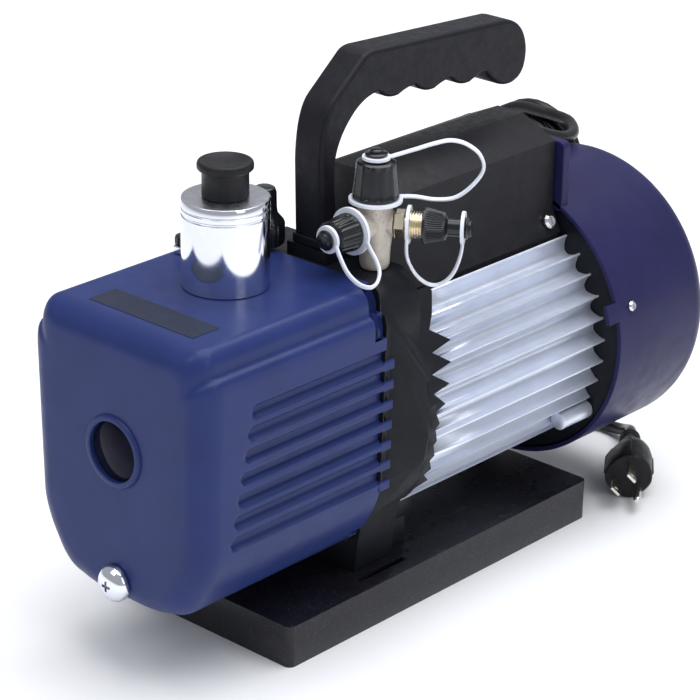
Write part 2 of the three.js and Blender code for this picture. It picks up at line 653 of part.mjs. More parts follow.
const SIDE_SCREW = { head: 3, shank: 6, y: 130, angle: 16.5 };

// A radial bar through the fan cover's side at one of its two screws.
function sideBar(radius, from, to, side) {
  const bar = barZ(radius, from, to, 0, 0, 10);
  bar.rotateY(side * (Math.PI / 2 - radians(SIDE_SCREW.angle)));
  return bar.translate(0, SIDE_SCREW.y, AXIS_Z);
}

function makeEndShield() {
  const { front, rear, radius } = SHIELD;
  const seat = 16 + GAP;
  const profile = [[seat, front], [radius, front], [radius, rear + 10], [77.6, rear + 10],
    [77.6, rear], [26, rear], [24, rear + 8], [SHAFT.radius + 1.4, rear + 8],
    [SHAFT.radius + 1.4, front + 10], [seat, front + 10], [seat, front]];
  const tools = [];
  for (const side of [-1, 1]) {
    const [x, z] = aboutShaft(TIE_BOLT.radius, TIE_BOLT.angle, side);
    tools.push(barY(TIE_BOLT.rod + GAP, front - 1, rear + 1, x, z, 12));
    tools.push(sideBar(SIDE_SCREW.head * SHANK_SHARE + GAP, 60, 90, side));
  }
  const disc = turnedY(profile, 36).translate(0, 0, AXIS_Z);
  add('rear_end_shield', cut(disc, ...tools), BLACK_CASTING);
}

function makeFanCover() {
  const { radius, front, rear, wall, edge } = FAN_COVER;
  const corner = (r, e, y) => [0, 30, 60, 90].map((degrees) => {
    const angle = radians(degrees);
    return [r - e + e * Math.cos(angle), y - e + e * Math.sin(angle)];
  });
  const profile = [[0, rear - wall],
    ...corner(radius - wall, edge - wall, rear - wall).reverse(), [radius - wall, front],
    [radius, front], ...corner(radius, edge, rear), [0, rear]];
  const drum = turnedY(profile, 36).translate(0, 0, AXIS_Z);
  // The lip that stands up behind the terminal box, with a notch for the mains lead.
  const lip = extrudeY(mirrored([[38, 180], [38, 219], [36, 223], [32, 225]]), front, front + 6);
  const inDrum = barY(radius - 1, front - 1, front + 8, 0, AXIS_Z, 36);
  const notch = box(GLAND.x - 10, GLAND.x + 10, front - 1, front + 8, GLAND.z - 10, 240);
  const tabs = [-1, 1].map((side) => {
    const block = extrudeY([[side * 74, 130], [side * 90, 130], [side * 90, 141],
      [side * 74, 141]], front - 9, front + 1);
    const band = ringY(74, radius, front - 10, front + 2, 36).translate(0, 0, AXIS_Z);
    return overlap(block, band);
  });
  const holes = [-1, 1].map((side) =>
    sideBar(SIDE_SCREW.head * SHANK_SHARE + GAP, 60, 90, side));
  for (const [ring, count] of [[32, 8], [50, 12]]) {
    for (let i = 0; i < count; i += 1) {
      const [x, z] = aboutShaft(ring, (360 / count) * i);
      holes.push(barY(5.4, rear - 6, rear + 2, x, z, 6));
    }
  }
  const shell = join(drum, cut(lip, inDrum, notch), ...tabs);
  add('fan_cover', cut(shell, ...holes), BLUE_PAINT);
}

function makeFanCoverScrews() {
  const { head, shank, y, angle } = SIDE_SCREW;
  for (const [name, side] of [['fan_cover_screw_left', -1], ['fan_cover_screw_right', 1]]) {
    const screw = add(name, screwGeometry(head, shank), STEEL);
    const [x, z] = aboutShaft(FAN_COVER.radius + GAP, angle, side);
    screw.position.set(x, y, z);
    screw.rotation.y = side * (Math.PI / 2 - radians(angle));
  }
}

// ---------------------------------------------------------------- turning parts
const rotor = new THREE.Group();
rotor.position.z = AXIS_Z;
pump.add(rotor);
const PUMP_ROTOR = { radius: 17.5, front: -121, rear: -70, vane: 3 };

function makeRotor() {
  const inner = SHAFT.radius + GAP;
  add('shaft', barY(SHAFT.radius, SHAFT.front, SHAFT.rear, 0, 0, 20), STEEL, rotor);
  add('motor_rotor', ringY(inner, 35.8, 20, 94, 28), STEEL, rotor);
  const blades = [];
  for (let i = 0; i < 6; i += 1) {
    blades.push(box(16, 66, 149, 166, -1.2, 1.2).rotateY((i * Math.PI) / 3));
  }
  const hub = ringY(inner, 19, 148, 167);
  add('cooling_fan', join(hub, ...blades), BLACK_PLASTIC, rotor);
  const { radius, front, rear, vane } = PUMP_ROTOR;
  const slot = box(8.6, 26, front - 1, rear + 1, -vane / 2 - GAP, vane / 2 + GAP);
  const drum = ringY(inner, radius, front, rear, 24);
  add('pump_rotor', cut(drum, slot, slot.clone().rotateY(Math.PI)), STEEL, rotor);
  for (const [name, turn] of [['vane_a', 0], ['vane_b', Math.PI]]) {
    const plate = box(9, radius - 0.4, front + 0.4, rear - 0.4, -vane / 2, vane / 2);
    add(name, plate.rotateY(turn), BLACK_PLASTIC, rotor);
  }
}

function makePumpCylinder() {
  const z = AXIS_Z - 4;
  const { front, rear } = PUMP_ROTOR;
  const outer = barY(38, front - 5, HOUSING.front - 2, 0, z, 28);
  const mount = box(-26, 26, HOUSING.front - 8, HOUSING.front - GAP, z - 36, z + 34);
  const bore = barY(22, front - 0.5, rear + 0.5, 0, z, 28);
  const passage = barY(SHAFT.radius + 0.6, front - 20, 0, 0, AXIS_Z, 20);
  const outlet = barZ(3, z, z + 60, 0, (front + rear) / 2, 10);
  add('pump_cylinder', cut(join(outer, mount), bore, passage, outlet), BLACK_CASTING);
}

// ---------------------------------------------------------------- terminal box
const SKIRT_ANGLE = 57.5;
const SKIRT_TOP = 187;
const SWITCH = { y: 34, z: 205, halfLength: 10, halfHeight: 6 };
const BOX_SCREW = { head: 4.2, shank: 4, x: 36.4, y: 108, z: 180.6, lean: radians(63) };

function makeTerminalBox() {
  const { front, rear, top, shoulder, halfWidth, wall } = BOX;
  const skirt = [aboutShaft(COLLAR.inner, SKIRT_ANGLE), aboutShaft(STATOR.tip + 0.6,
    SKIRT_ANGLE)];
  const outline = mirrored([...skirt, [halfWidth, SKIRT_TOP], [halfWidth, shoulder], [9, top]]);
  const inner = mirrored([[29, 150], [halfWidth - wall, SKIRT_TOP],
    [halfWidth - wall, shoulder - 1.6], [8, top - wall]]);
  const hollow = extrudeY(inner, front + wall, rear - wall);
  const saddle = barY(COLLAR.inner, front - 5, rear + 5, 0, AXIS_Z, 60);
  const overCollar = barY(COLLAR.outer + 2 * GAP, front - 5, COLLAR.rear + GAP, 0, AXIS_Z, 60);
  const tools = [hollow, saddle, overCollar, barY(5.6, rear - 5, rear + 5, GLAND.x, GLAND.z, 16)];
  const { y, z, halfLength, halfHeight } = SWITCH;
  tools.push(box(-halfWidth - 3, -halfWidth + 4, y - halfLength - 4, y + halfLength + 4,
    z - halfHeight - 3, z + halfHeight + 3));
  for (const side of [-1, 1]) {
    const hole = barZ(BOX_SCREW.head * SHANK_SHARE + GAP, -8, 4, 0, 0, 12);
    hole.rotateY(side * BOX_SCREW.lean);
    tools.push(hole.translate(side * BOX_SCREW.x, BOX_SCREW.y, BOX_SCREW.z));
  }
  add('terminal_box', cut(extrudeY(outline, front, rear), ...tools), BLACK_PLASTIC);
  add('run_capacitor', barY(15, -2, 76, 7, 207, 24), BLACK_CASTING);
}

function makeBoxScrews() {
  const { head, shank, x, y, z, lean } = BOX_SCREW;
  const lift = 0.5;
  for (const [name, side] of [['box_screw_left', -1], ['box_screw_right', 1]]) {
    const screw = add(name, screwGeometry(head, shank), STEEL);
    screw.position.set(side * (x + lift * Math.sin(lean)), y, z + lift * Math.cos(lean));
    screw.rotation.y = side * lean;
  }
}

function makeSwitch() {
  const face = -BOX.halfWidth;
  const { y, z, halfLength, halfHeight } = SWITCH;
  const panel = (x0, x1, more) => box(x0, x1, y - halfLength - more, y + halfLength + more,
    z - halfHeight - more * 0.8, z + halfHeight + more * 0.8);
  const frame = join(panel(face - 2, face + 3.6, 3.4), panel(face - 2, face - GAP, 6));
  add('switch_frame', cut(frame, panel(face - 4, face + 5, 0)), BLACK_PLASTIC);
  const key = new THREE.Shape();
  const half = halfLength - 1.2;
  key.moveTo(-half, 2.4);
  key.lineTo(0, 1.2);
  key.lineTo(half, 3.4);
  key.lineTo(half, -1.6);
  key.lineTo(-half, -1.6);
  const depth = 2 * halfHeight - 1;
  const rocker = new THREE.ExtrudeGeometry(key, { depth, bevelEnabled: false });
  rocker.translate(0, 0, -depth / 2).applyMatrix4(new THREE.Matrix4().makeBasis(
    new THREE.Vector3(0, 1, 0),
    new THREE.Vector3(-1, 0, 0),
    new THREE.Vector3(0, 0, 1),
  ));
  add('switch_rocker', rocker, BLACK_PLASTIC).position.set(face - 0.6, y, z);
}

// ---------------------------------------------------------------- mains lead and plug
function makeStrainRelief() {
  const profile = [[0, -3], [5.2, -3], [5.2, GAP], [7.4, GAP], [7.4, 2.6], [6.4, 3.4],
    [4.9, GLAND.length], [0, GLAND.length]];
  add('strain_relief', turnedY(profile, 20), RUBBER).position.set(GLAND.x, BOX.rear, GLAND.z);
}

// From the strain relief over the fan cover to the top of the coil.
const LEAD_ROUTE = [[-12, 144.4, 213], [-12, 149, 212.9], [-11.5, 157, 210.8], [-10.6, 168, 206.4],
  [-10.2, 180, 202.5], [-13.5, 192, 201.3], [-21.5, 201.8, 201.5], [-30, 207, 202.3],
  [-36.9, 208.5, 202.5]];
// From the foot of the coil along the floor to the plug.
const TAIL_ROUTE = [[-36.7, 216.2, 4.2], [-29, 217.5, 4.1], [-21.5, 220.8, 4], [-13.5, 224.4, 4],
  [-5, 226.4, 4.1], [4, 226.2, 4.8], [12.5, 223.7, 6.8], [19.2, 219.8, 9.8],
  [24.4, 214.9, 12.7], [28.3, 209.9, 14.2], [31, 206.2, 14.4]];

function makeCord() {
  const { radius, sides } = CORD;
  add('power_cord_lead', tube(LEAD_ROUTE, radius, sides, 14), RUBBER);
  add('power_cord_tail', tube(TAIL_ROUTE, radius, sides, 12), RUBBER);
}

// The outer shape of three and a half turns, two side by side and two deep.
function makeCoil() {
  const { x, upperZ, lowerZ, bend, frontY } = COIL;
  const slack = CORD.radius + 0.1;
  const loop = (radius) => {
    const outline = new THREE.Shape();
    outline.absarc(0, upperZ, radius, 0, Math.PI);
    outline.absarc(0, lowerZ, radius, Math.PI, 2 * Math.PI);
    return outline;
  };
  const depth = CORD.pitch + 2 * slack;
  const band = (radius, extra) => new THREE.ExtrudeGeometry(loop(radius), {
    depth: depth + 2 * extra, bevelEnabled: false, curveSegments: 10,
  }).rotateX(Math.PI / 2).translate(x, frontY - slack + depth + extra, 0);
  const inner = bend - CORD.pitch - slack;
  add('power_cord_coil', cut(band(bend + slack, 0), band(inner, 2)), RUBBER);
  const left = x - bend - slack;
  const right = left + bend + slack - inner;
  const front = frontY - slack;
  const strap = 1.2;
  const ring = (more, z0, z1) => box(left - GAP - more, right + GAP + more,
    front - GAP - more, front + depth + GAP + more, z0, z1);
  add('cord_tie', cut(ring(strap, 96, 103), ring(0, 90, 110)), BLACK_PLASTIC);
}

function makePlug() {
  const heading = new THREE.Group();
  heading.position.set(PLUG.x, PLUG.y, PLUG.z);
  heading.rotation.z = PLUG.turn;
  pump.add(heading);
  const plug = new THREE.Group();
  plug.rotation.y = PLUG.roll;
  heading.add(plug);
  const seat = -6;
  const blade = { x: 6.35, z: 4, thick: 1.5, wide: 6.4, reach: 18.3 };
  const pin = { z: -7.9, radius: 2.4, reach: 21.4 };
  const bladeBox = (x, more, reach) => box(x - blade.thick / 2 - more,
    x + blade.thick / 2 + more, seat - more, reach, blade.z - blade.wide / 2 - more,
    blade.z + blade.wide / 2 + more);
  const profile = [[0, -PLUG.length], [4.8, -PLUG.length], [5.6, -50], [7, -39], [9.5, -36],
    [13, -29], [14, -20], [14, -3], [13, 0], [0, 0]];
  const sockets = [bladeBox(-blade.x, GAP, 2), bladeBox(blade.x, GAP, 2),
    barY(pin.radius + GAP, seat - GAP, 2, 0, pin.z, 12)];
  add('plug_body', cut(turnedY(profile, 18), ...sockets), BLACK_PLASTIC, plug);
  for (const [name, side] of [['plug_blade_left', 1], ['plug_blade_right', -1]]) {
    const eye = new THREE.CylinderGeometry(1.6, 1.6, 8, 12).rotateZ(Math.PI / 2);
    eye.translate(side * blade.x, 14.4, blade.z);
    add(name, cut(bladeBox(side * blade.x, 0, blade.reach), eye), STEEL, plug);
  }
  const pinProfile = [[0, seat], [pin.radius, seat], [pin.radius, pin.reach - 1.4],
    [pin.radius - 1, pin.reach], [0, pin.reach]];
  add('plug_ground_pin', turnedY(pinProfile, 14), STEEL, plug).position.z = pin.z;
}

makeBasePan();
makeFootBolts();
makeHousing();
makeOilCover();
makeCoverScrews();
makeCoverGasket();
makeSightGlass();
makeDrainPlug();
makeExhaust();
makeTopFittings();
makeTee();
makeAdapter();
makeCaps();
makeStraps();
makeHandle();
makeStatorFrame();
makeTieBolts();
makeMotorCore();
makeEndShield();
makeFanCover();
makeFanCoverScrews();
makeRotor();
makePumpCylinder();
makeTerminalBox();
makeBoxScrews();
makeSwitch();
makeStrainRelief();
makeCord();
makeCoil();
makePlug();

export default pump;
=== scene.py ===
# Visual model of the refrigeration service vacuum pump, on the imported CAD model's frame.
# Lengths are in metres; routes and outlines are written in millimetres and scaled by MM.
import math

import bmesh
import bpy
from mathutils import Matrix, Vector


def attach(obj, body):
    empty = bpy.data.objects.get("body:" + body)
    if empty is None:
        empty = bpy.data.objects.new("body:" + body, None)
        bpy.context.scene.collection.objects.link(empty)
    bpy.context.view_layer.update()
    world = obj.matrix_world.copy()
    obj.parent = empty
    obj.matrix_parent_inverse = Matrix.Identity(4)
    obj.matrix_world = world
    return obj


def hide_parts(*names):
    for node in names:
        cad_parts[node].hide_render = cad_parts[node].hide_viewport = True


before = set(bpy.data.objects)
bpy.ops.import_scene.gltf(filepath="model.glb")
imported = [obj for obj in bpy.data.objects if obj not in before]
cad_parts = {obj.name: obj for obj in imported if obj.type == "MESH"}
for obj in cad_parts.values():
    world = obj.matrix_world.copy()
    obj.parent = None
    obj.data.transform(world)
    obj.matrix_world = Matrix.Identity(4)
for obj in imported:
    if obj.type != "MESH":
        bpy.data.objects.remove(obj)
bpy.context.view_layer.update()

MM = 0.001
AXIS_Z = 112  # height of the shaft
ROOT = "pump_body"
TEE = Vector((33.2, -34, 217))  # where the inlet tee's arms cross
RIGHT_ARM_TURN = math.radians(-56)
UP = Vector((0, 0, 1))
MACHINE_MIDDLE = Vector((0, 0, 0.1))


# ---------------------------------------------------------------- camera, floor and light
def make_camera():
    """Looks at the machine's front and right side from above, with a long lens."""
    azimuth, elevation, roll = (math.radians(a) for a in (42.21, 22.96, 0.83))
    distance = 1.5282
    target = Vector((-0.0236, 0.0105, 0.1143))
    back = Vector((
        math.sin(azimuth) * math.cos(elevation),
        -math.cos(azimuth) * math.cos(elevation),
        math.sin(elevation),
    ))
    level = (-back).cross(UP).normalized()
    rise = level.cross(-back)
    right = level * math.cos(roll) + rise * math.sin(roll)
    up = rise * math.cos(roll) - level * math.sin(roll)
    data = bpy.data.cameras.new("camera")
    data.lens = 140.31
    data.sensor_width = 36
    camera = bpy.data.objects.new("camera", data)
    bpy.context.scene.collection.objects.link(camera)
    turn = Matrix((right, up, back)).transposed().to_4x4()
    camera.matrix_world = Matrix.Translation(target + back * distance) @ turn
    bpy.context.scene.camera = camera


def add_light(name, place, size, power, colour):
    data = bpy.data.lights.new(name, "AREA")
    data.shape = "RECTANGLE"
    data.size, data.size_y = size
    data.energy = power
    data.color = colour
    light = bpy.data.objects.new(name, data)
    bpy.context.scene.collection.objects.link(light)
    light.location = place
    towards = MACHINE_MIDDLE - Vector(place)
    light.rotation_euler = towards.to_track_quat("-Z", "Y").to_euler()


def make_studio():
    """A large pale floor, a dim cool world, and three soft lights. The strongest is overhead."""
    floor_mesh = bpy.data.meshes.new("floor")
    reach = 6
    corners = [(-reach, -reach, 0), (reach, -reach, 0), (reach, reach, 0), (-reach, reach, 0)]
    floor_mesh.from_pydata(corners, [], [(0, 1, 2, 3)])
    floor = bpy.data.objects.new("floor", floor_mesh)
    bpy.context.scene.collection.objects.link(floor)
    floor_mesh.materials.append(plain_floor())
    world = bpy.data.worlds.new("studio")
    world.use_nodes = True
    background = world.node_tree.nodes["Background"]
    background.inputs["Color"].default_value = (0.94, 0.96, 1, 1)
    background.inputs["Strength"].default_value = 0.45
    bpy.context.scene.world = world
    bpy.context.scene.view_settings.view_transform = "Standard"
    cool_white = (0.95, 0.97, 1)
    add_light("key", (-0.4, -1.5, 1.9), (1.1, 1.1), 9, cool_white)
    add_light("side", (1.9, -0.3, 1.0), (0.8, 1.4), 5, cool_white)
    add_light("top", (0.2, 0.3, 2.1), (2.4, 2.2), 58, (0.97, 0.98, 1))


def plain_floor():
    material = bpy.data.materials.new("pale_floor")
    material.use_nodes = True
    shader = material.node_tree.nodes["Principled BSDF"]
    shader.inputs["Base Color"].default_value = (0.96, 0.96, 0.97, 1)
    shader.inputs["Roughness"].default_value = 0.6
    return material


# ---------------------------------------------------------------- materials
class Nodes:
    """A short way to write one material's node tree, on the surface's own coordinates."""

    def __init__(self, name):
        self.material = bpy.data.materials.new(name)
        self.material.use_nodes = True
        self.tree = self.material.node_tree
        self.shader = self.tree.nodes["Principled BSDF"]
        self.place = self.tree.nodes.new("ShaderNodeTexCoord").outputs["Object"]

    def link(self, source, target):
        self.tree.links.new(source, target)

    def stretched(self, scale):
        mapping = self.tree.nodes.new("ShaderNodeMapping")
        mapping.inputs["Scale"].default_value = scale
        self.link(self.place, mapping.inputs["Vector"])
        return mapping.outputs["Vector"]

    def noise(self, scale, detail=3, place=None):
        node = self.tree.nodes.new("ShaderNodeTexNoise")
        node.inputs["Scale"].default_value = scale
        node.inputs["Detail"].default_value = detail
        self.link(place or self.place, node.inputs["Vector"])
        return node.outputs["Fac"]

    def cells(self, scale):
        node = self.tree.nodes.new("ShaderNodeTexVoronoi")
        node.inputs["Scale"].default_value = scale
        self.link(self.place, node.inputs["Vector"])
        return node.outputs["Distance"]

    def ramp(self, value, low, high):
        node = self.tree.nodes.new("ShaderNodeMapRange")
        node.inputs["From Min"].default_value, node.inputs["From Max"].default_value = low
        node.inputs["To Min"].default_value, node.inputs["To Max"].default_value = high
        self.link(value, node.inputs["Value"])
        return node.outputs["Result"]

    def mix(self, factor, dark, light):
        node = self.tree.nodes.new("ShaderNodeMix")
        node.data_type = "RGBA"
        for socket, colour in ((6, dark), (7, light)):
            if isinstance(colour, tuple):
                node.inputs[socket].default_value = (*colour, 1)
            else:
                self.link(colour, node.inputs[socket])
        self.link(factor, node.inputs[0])
        return node.outputs[2]

    def bump(self, height, strength, distance, under=None):
        node = self.tree.nodes.new("ShaderNodeBump")
        node.inputs["Strength"].default_value = strength
        node.inputs["Distance"].default_value = distance
        self.link(height, node.inputs["Height"])
        if under:
            self.link(under, node.inputs["Normal"])
        return node.outputs["Normal"]


def shade(colour, share):
    return tuple(min(1, c * share) for c in colour)


NOISE_SPAN = (0.3, 0.7)  # a noise's value seldom lies outside this


def surface(name, colour, rough, metal=0, coat=0, mottle=(9, 0.12), grain=(900, 0.1, 0.15),
            dimples=None, streaks=None, specks=None, shine=0.5):
    """A material with soft colour variation, uneven gloss, and a fine relief.
    mottle is (patches per 0.1 m, share of the colour); grain and dimples are (scale, strength,
    depth in mm); streaks is (stretch, strength); specks is (scale, share, colour)."""
    n = Nodes(name)
    patches, variation = mottle
    spread = n.ramp(n.noise(patches * 10, 4), NOISE_SPAN, (0, 1))
    tint = n.mix(spread, shade(colour, 1 - variation), shade(colour, 1 + variation))
    if specks:
        scale, share, speck_colour = specks
        spots = n.ramp(n.noise(scale, 1), (1 - share, 1 - share + 0.04), (0, 1))
        tint = n.mix(spots, tint, speck_colour)
    n.link(tint, n.shader.inputs["Base Color"])
    gloss = n.ramp(n.noise(patches * 25, 3), NOISE_SPAN, (rough * 0.82, rough * 1.2))
    n.link(gloss, n.shader.inputs["Roughness"])
    scale, strength, depth = grain
    normal = n.bump(n.noise(scale, 2), strength, depth * MM)
    if dimples:
        scale, strength, depth = dimples
        normal = n.bump(n.cells(scale), strength, depth * MM, normal)
    if streaks:
        stretch, strength = streaks
        lines = n.noise(60, 2, n.stretched(stretch))
        normal = n.bump(lines, strength, 0.1 * MM, normal)
    n.link(normal, n.shader.inputs["Normal"])
    n.shader.inputs["Metallic"].default_value = metal
    n.shader.inputs["Specular IOR Level"].default_value = shine
    n.shader.inputs["Coat Weight"].default_value = coat
    n.shader.inputs["Coat Roughness"].default_value = 0.12
    return n.material


def glass_over_oil():
    """Dark, clear glass with a faint swirl of oil behind it."""
    n = Nodes("sight_window")
    swirl = n.ramp(n.noise(60, 2), (0.35, 0.7), (0, 1))
    oil = n.mix(swirl, (0.004, 0.004, 0.012), (0.009, 0.009, 0.022))
    n.link(oil, n.shader.inputs["Base Color"])
    n.link(n.bump(n.noise(300, 1), 0.03, 0.05 * MM), n.shader.inputs["Normal"])
    n.shader.inputs["Roughness"].default_value = 0.05
    n.shader.inputs["Specular IOR Level"].default_value = 0.05
    return n.material


ALONG_Y = (14, 0.3, 14)  # stretches a noise into streaks along the shaft
BLUE = surface("blue_paint", (0.018, 0.031, 0.128), 0.36, coat=0.06, mottle=(4, 0.08),
               grain=(260, 0.05, 0.1), shine=0.16)
FAN_BLUE = surface("fan_cover_paint", (0.018, 0.017, 0.072), 0.38, coat=0.04, mottle=(4, 0.1),
                   grain=(260, 0.05, 0.1), shine=0.14)
BLACK_CAST = surface("black_casting", (0.007, 0.008, 0.012), 0.45, mottle=(8, 0.2),
                     grain=(420, 0.15, 0.2), shine=0.2)
PAN_BLACK = surface("pan_paint", (0.008, 0.008, 0.012), 0.3, coat=0.15, mottle=(5, 0.2),
                    grain=(700, 0.1, 0.1), specks=(1200, 0.34, (0.05, 0.052, 0.07)), shine=0.3)
HANDLE_BLACK = surface("handle_plastic", (0.009, 0.009, 0.013), 0.45, mottle=(10, 0.2),
                       grain=(800, 0.2, 0.2), dimples=(700, 0.25, 0.25), shine=0.2)
BOX_BLACK = surface("box_plastic", (0.008, 0.008, 0.011), 0.45, mottle=(10, 0.2),
                    grain=(900, 0.15, 0.15), dimples=(900, 0.15, 0.2), shine=0.25)
CAP_BLACK = surface("cap_plastic", (0.008, 0.009, 0.012), 0.22, coat=0.2, mottle=(12, 0.2),
                    grain=(900, 0.05, 0.1), shine=0.35)
RUBBER = surface("black_rubber", (0.01, 0.01, 0.012), 0.45, mottle=(10, 0.2),
                 grain=(700, 0.12, 0.15), shine=0.25)
JACKET = surface("cord_jacket", (0.008, 0.008, 0.01), 0.3, mottle=(10, 0.2),
                 grain=(400, 0.06, 0.1), shine=0.35)
ALUMINIUM = surface("cast_aluminium", (0.66, 0.7, 0.8), 0.36, metal=0.6, mottle=(6, 0.05),
                    grain=(350, 0.15, 0.2))
STEEL = surface("turned_steel", (0.55, 0.56, 0.6), 0.3, metal=1, streaks=(ALONG_Y, 0.3))
ZINC = surface("zinc_plate", (0.72, 0.73, 0.76), 0.24, metal=1, mottle=(20, 0.12),
               grain=(1500, 0.1, 0.1))
DARK_SCREW = surface("black_screw", (0.012, 0.012, 0.016), 0.3, metal=0.3, mottle=(20, 0.2),
                     shine=0.3)
CHROME = surface("chrome_plate", (0.76, 0.78, 0.84), 0.1, metal=1, mottle=(10, 0.03),
                 grain=(200, 0.02, 0.05))
CAN_TOP = surface("satin_can", (0.62, 0.63, 0.68), 0.3, metal=1, mottle=(10, 0.06),
                  grain=(900, 0.1, 0.1))
CAST_BRASS = surface("cast_brass", (0.55, 0.5, 0.44), 0.45, metal=0.3, mottle=(14, 0.1),
                     grain=(900, 0.3, 0.25), specks=(900, 0.34, (0.38, 0.34, 0.3)))
BRASS = surface("machined_brass", (0.86, 0.78, 0.6), 0.2, metal=1, mottle=(20, 0.06),
                grain=(1500, 0.08, 0.1))
WHITE = surface("tether_plastic", (0.78, 0.81, 0.9), 0.36, mottle=(14, 0.05),
                grain=(900, 0.1, 0.12))
IRON = surface("grey_iron", (0.13, 0.13, 0.14), 0.5, metal=0.6, mottle=(12, 0.2),
               grain=(400, 0.5, 0.4))
COPPER = surface("varnished_wire", (0.5, 0.2, 0.08), 0.35, metal=0.8, streaks=(ALONG_Y, 0.8))
NICKEL = surface("nickel_plate", (0.7, 0.68, 0.62), 0.2, metal=1, mottle=(20, 0.08))
VANE = surface("vane_composite", (0.05, 0.045, 0.04), 0.55, mottle=(20, 0.2))
LABEL = surface("blank_label", (0.016, 0.022, 0.046), 0.42, mottle=(5, 0.06),
                grain=(500, 0.04, 0.05), shine=0.2)
WINDOW = glass_over_oil()


# ---------------------------------------------------------------- mesh helpers
def new_object(name, bm, material, rounding=0.0, segments=3, sharp=35):
    """A smooth-shaded piece from a bmesh in millimetres, with its sharp edges rounded."""
    bmesh.ops.remove_doubles(bm, verts=bm.verts, dist=1e-4)
    bmesh.ops.recalc_face_normals(bm, faces=bm.faces)
    bmesh.ops.scale(bm, vec=(MM, MM, MM), verts=bm.verts)
    mesh = bpy.data.meshes.new(name)
    bm.to_mesh(mesh)
    bm.free()
    mesh.materials.append(material)
    mesh.shade_smooth()
    piece = bpy.data.objects.new(name, mesh)
    bpy.context.scene.collection.objects.link(piece)
    if rounding:
        bevel = piece.modifiers.new("rounding", "BEVEL")
        bevel.width = rounding * MM
        bevel.segments = segments
        bevel.limit_method = "ANGLE"
        bevel.angle_limit = math.radians(sharp)
        bevel.harden_normals = True
        bevel.use_clamp_overlap = True
    else:
        mesh.set_sharp_from_angle(angle=math.radians(sharp))
    return piece


def place(piece, slot, *nodes, body=ROOT):
    """Puts the piece on its body, instead of these CAD nodes. The slot is not used."""
    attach(piece, body)
    if nodes:
        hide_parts(*nodes)
    return piece


def spin(bm, profile, turn=Matrix.Identity(4), segments=96, ribs=None):
    """Adds a turned shape about local Z. The profile lists (radius, height); ribs is
    (count, depth, first height, last height) of the fluting on its outside."""
    rib_count, rib_depth, rib_low, rib_high = ribs or (0, 0, 0, 0)
    rings = []
    for radius, height in profile:
        ring = []
        for i in range(segments):
            angle = 2 * math.pi * i / segments
            r = radius
            if rib_depth and rib_low <= height <= rib_high:
                r -= rib_depth * (0.5 - 0.5 * math.cos(rib_count * angle))
            point = Vector((r * math.cos(angle), r * math.sin(angle), height))
            ring.append(bm.verts.new(turn @ point))
        rings.append(ring)
    join_rings(bm, rings)
    cap(bm, rings[0])
    cap(bm, rings[-1])


def join_rings(bm, rings):
    """Joins each ring of vertices to the next with quads."""
    for low, high in zip(rings, rings[1:]):
        count = len(low)
        for i in range(count):
            j = (i + 1) % count
            bm.faces.new((low[i], low[j], high[j], high[i]))


def cap(bm, ring):
    """Closes a ring, unless all of its vertices are at one point."""
    if (ring[0].co - ring[1].co).length > 1e-3:
        bm.faces.new(ring)


def loft(bm, rings):
    """Joins rings of points into one closed skin."""
    made = [[bm.verts.new(point) for point in ring] for ring in rings]
    join_rings(bm, made)
    cap(bm, made[0])
    cap(bm, made[-1])


def slab(bm, outline, low, high, turn=Matrix.Identity(4)):
    """Adds an outline of (x, y) points, raised from low to high."""
    loft(bm, [[turn @ Vector((x, y, z)) for x, y in outline] for z in (low, high)])


def rounded(corners, radius, steps=6):
    """The outline through these corners with each of them rounded."""
    outline = []
    count = len(corners)
    for i, corner in enumerate(corners):
        here = Vector(corner)
        before = Vector(corners[i - 1]) - here
        after = Vector(corners[(i + 1) % count]) - here
        back = min(radius, before.length * 0.49, after.length * 0.49)
        start = here + before.normalized() * back
        end = here + after.normalized() * back
        for k in range(steps + 1):
            t = k / steps
            point = start * (1 - t) ** 2 + here * 2 * t * (1 - t) + end * t ** 2
            outline.append(tuple(point))
    return outline


def smooth_route(points, steps=8):
    """Points along a smooth curve through the given ones."""
    knots = [Vector(p) for p in points]
    knots = [knots[0] * 2 - knots[1]] + knots + [knots[-1] * 2 - knots[-2]]
    route = []
    for a, b, c, d in zip(knots, knots[1:], knots[2:], knots[3:]):
        for k in range(steps):
            t = k / steps
            route.append(0.5 * (2 * b + (c - a) * t + (2 * a - 5 * b + 4 * c - d) * t * t
                                + (3 * b - a - 3 * c + d) * t ** 3))
    return route + [knots[-2]]


def band(bm, route, half_width, half_depth, flat, sides=12):
    """A strap along a route. Its width lies along the flat direction."""
    rings = []
    for i, point in enumerate(route):
        ahead = (route[min(i + 1, len(route) - 1)] - route[max(i - 1, 0)]).normalized()
        wide = (flat - ahead * flat.dot(ahead)).normalized()
        deep = ahead.cross(wide)
        rings.append([point + wide * half_width * math.cos(a) + deep * half_depth * math.sin(a)
                      for a in (2 * math.pi * k / sides for k in range(sides))])
    loft(bm, rings)


# Lays an outline of (x, z) points in place and raises it along Y.
ALONG_SHAFT = Matrix(((1, 0, 0, 0), (0, 0, 1, 0), (0, 1, 0, 0), (0, 0, 0, 1)))


def about_y(x=0, z=AXIS_Z, y=0):
    """Turns a shape made about local Z onto an axis along +Y through this point."""
    return Matrix.Translation((x, y, z)) @ Matrix.Rotation(-math.pi / 2, 4, "X")


def node_shape(node):
    """A bmesh of the CAD node, in millimetres."""
    bm = bmesh.new()
    bm.from_mesh(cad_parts[node].data)
    bmesh.ops.scale(bm, vec=(1 / MM, 1 / MM, 1 / MM), verts=bm.verts)
    return bm


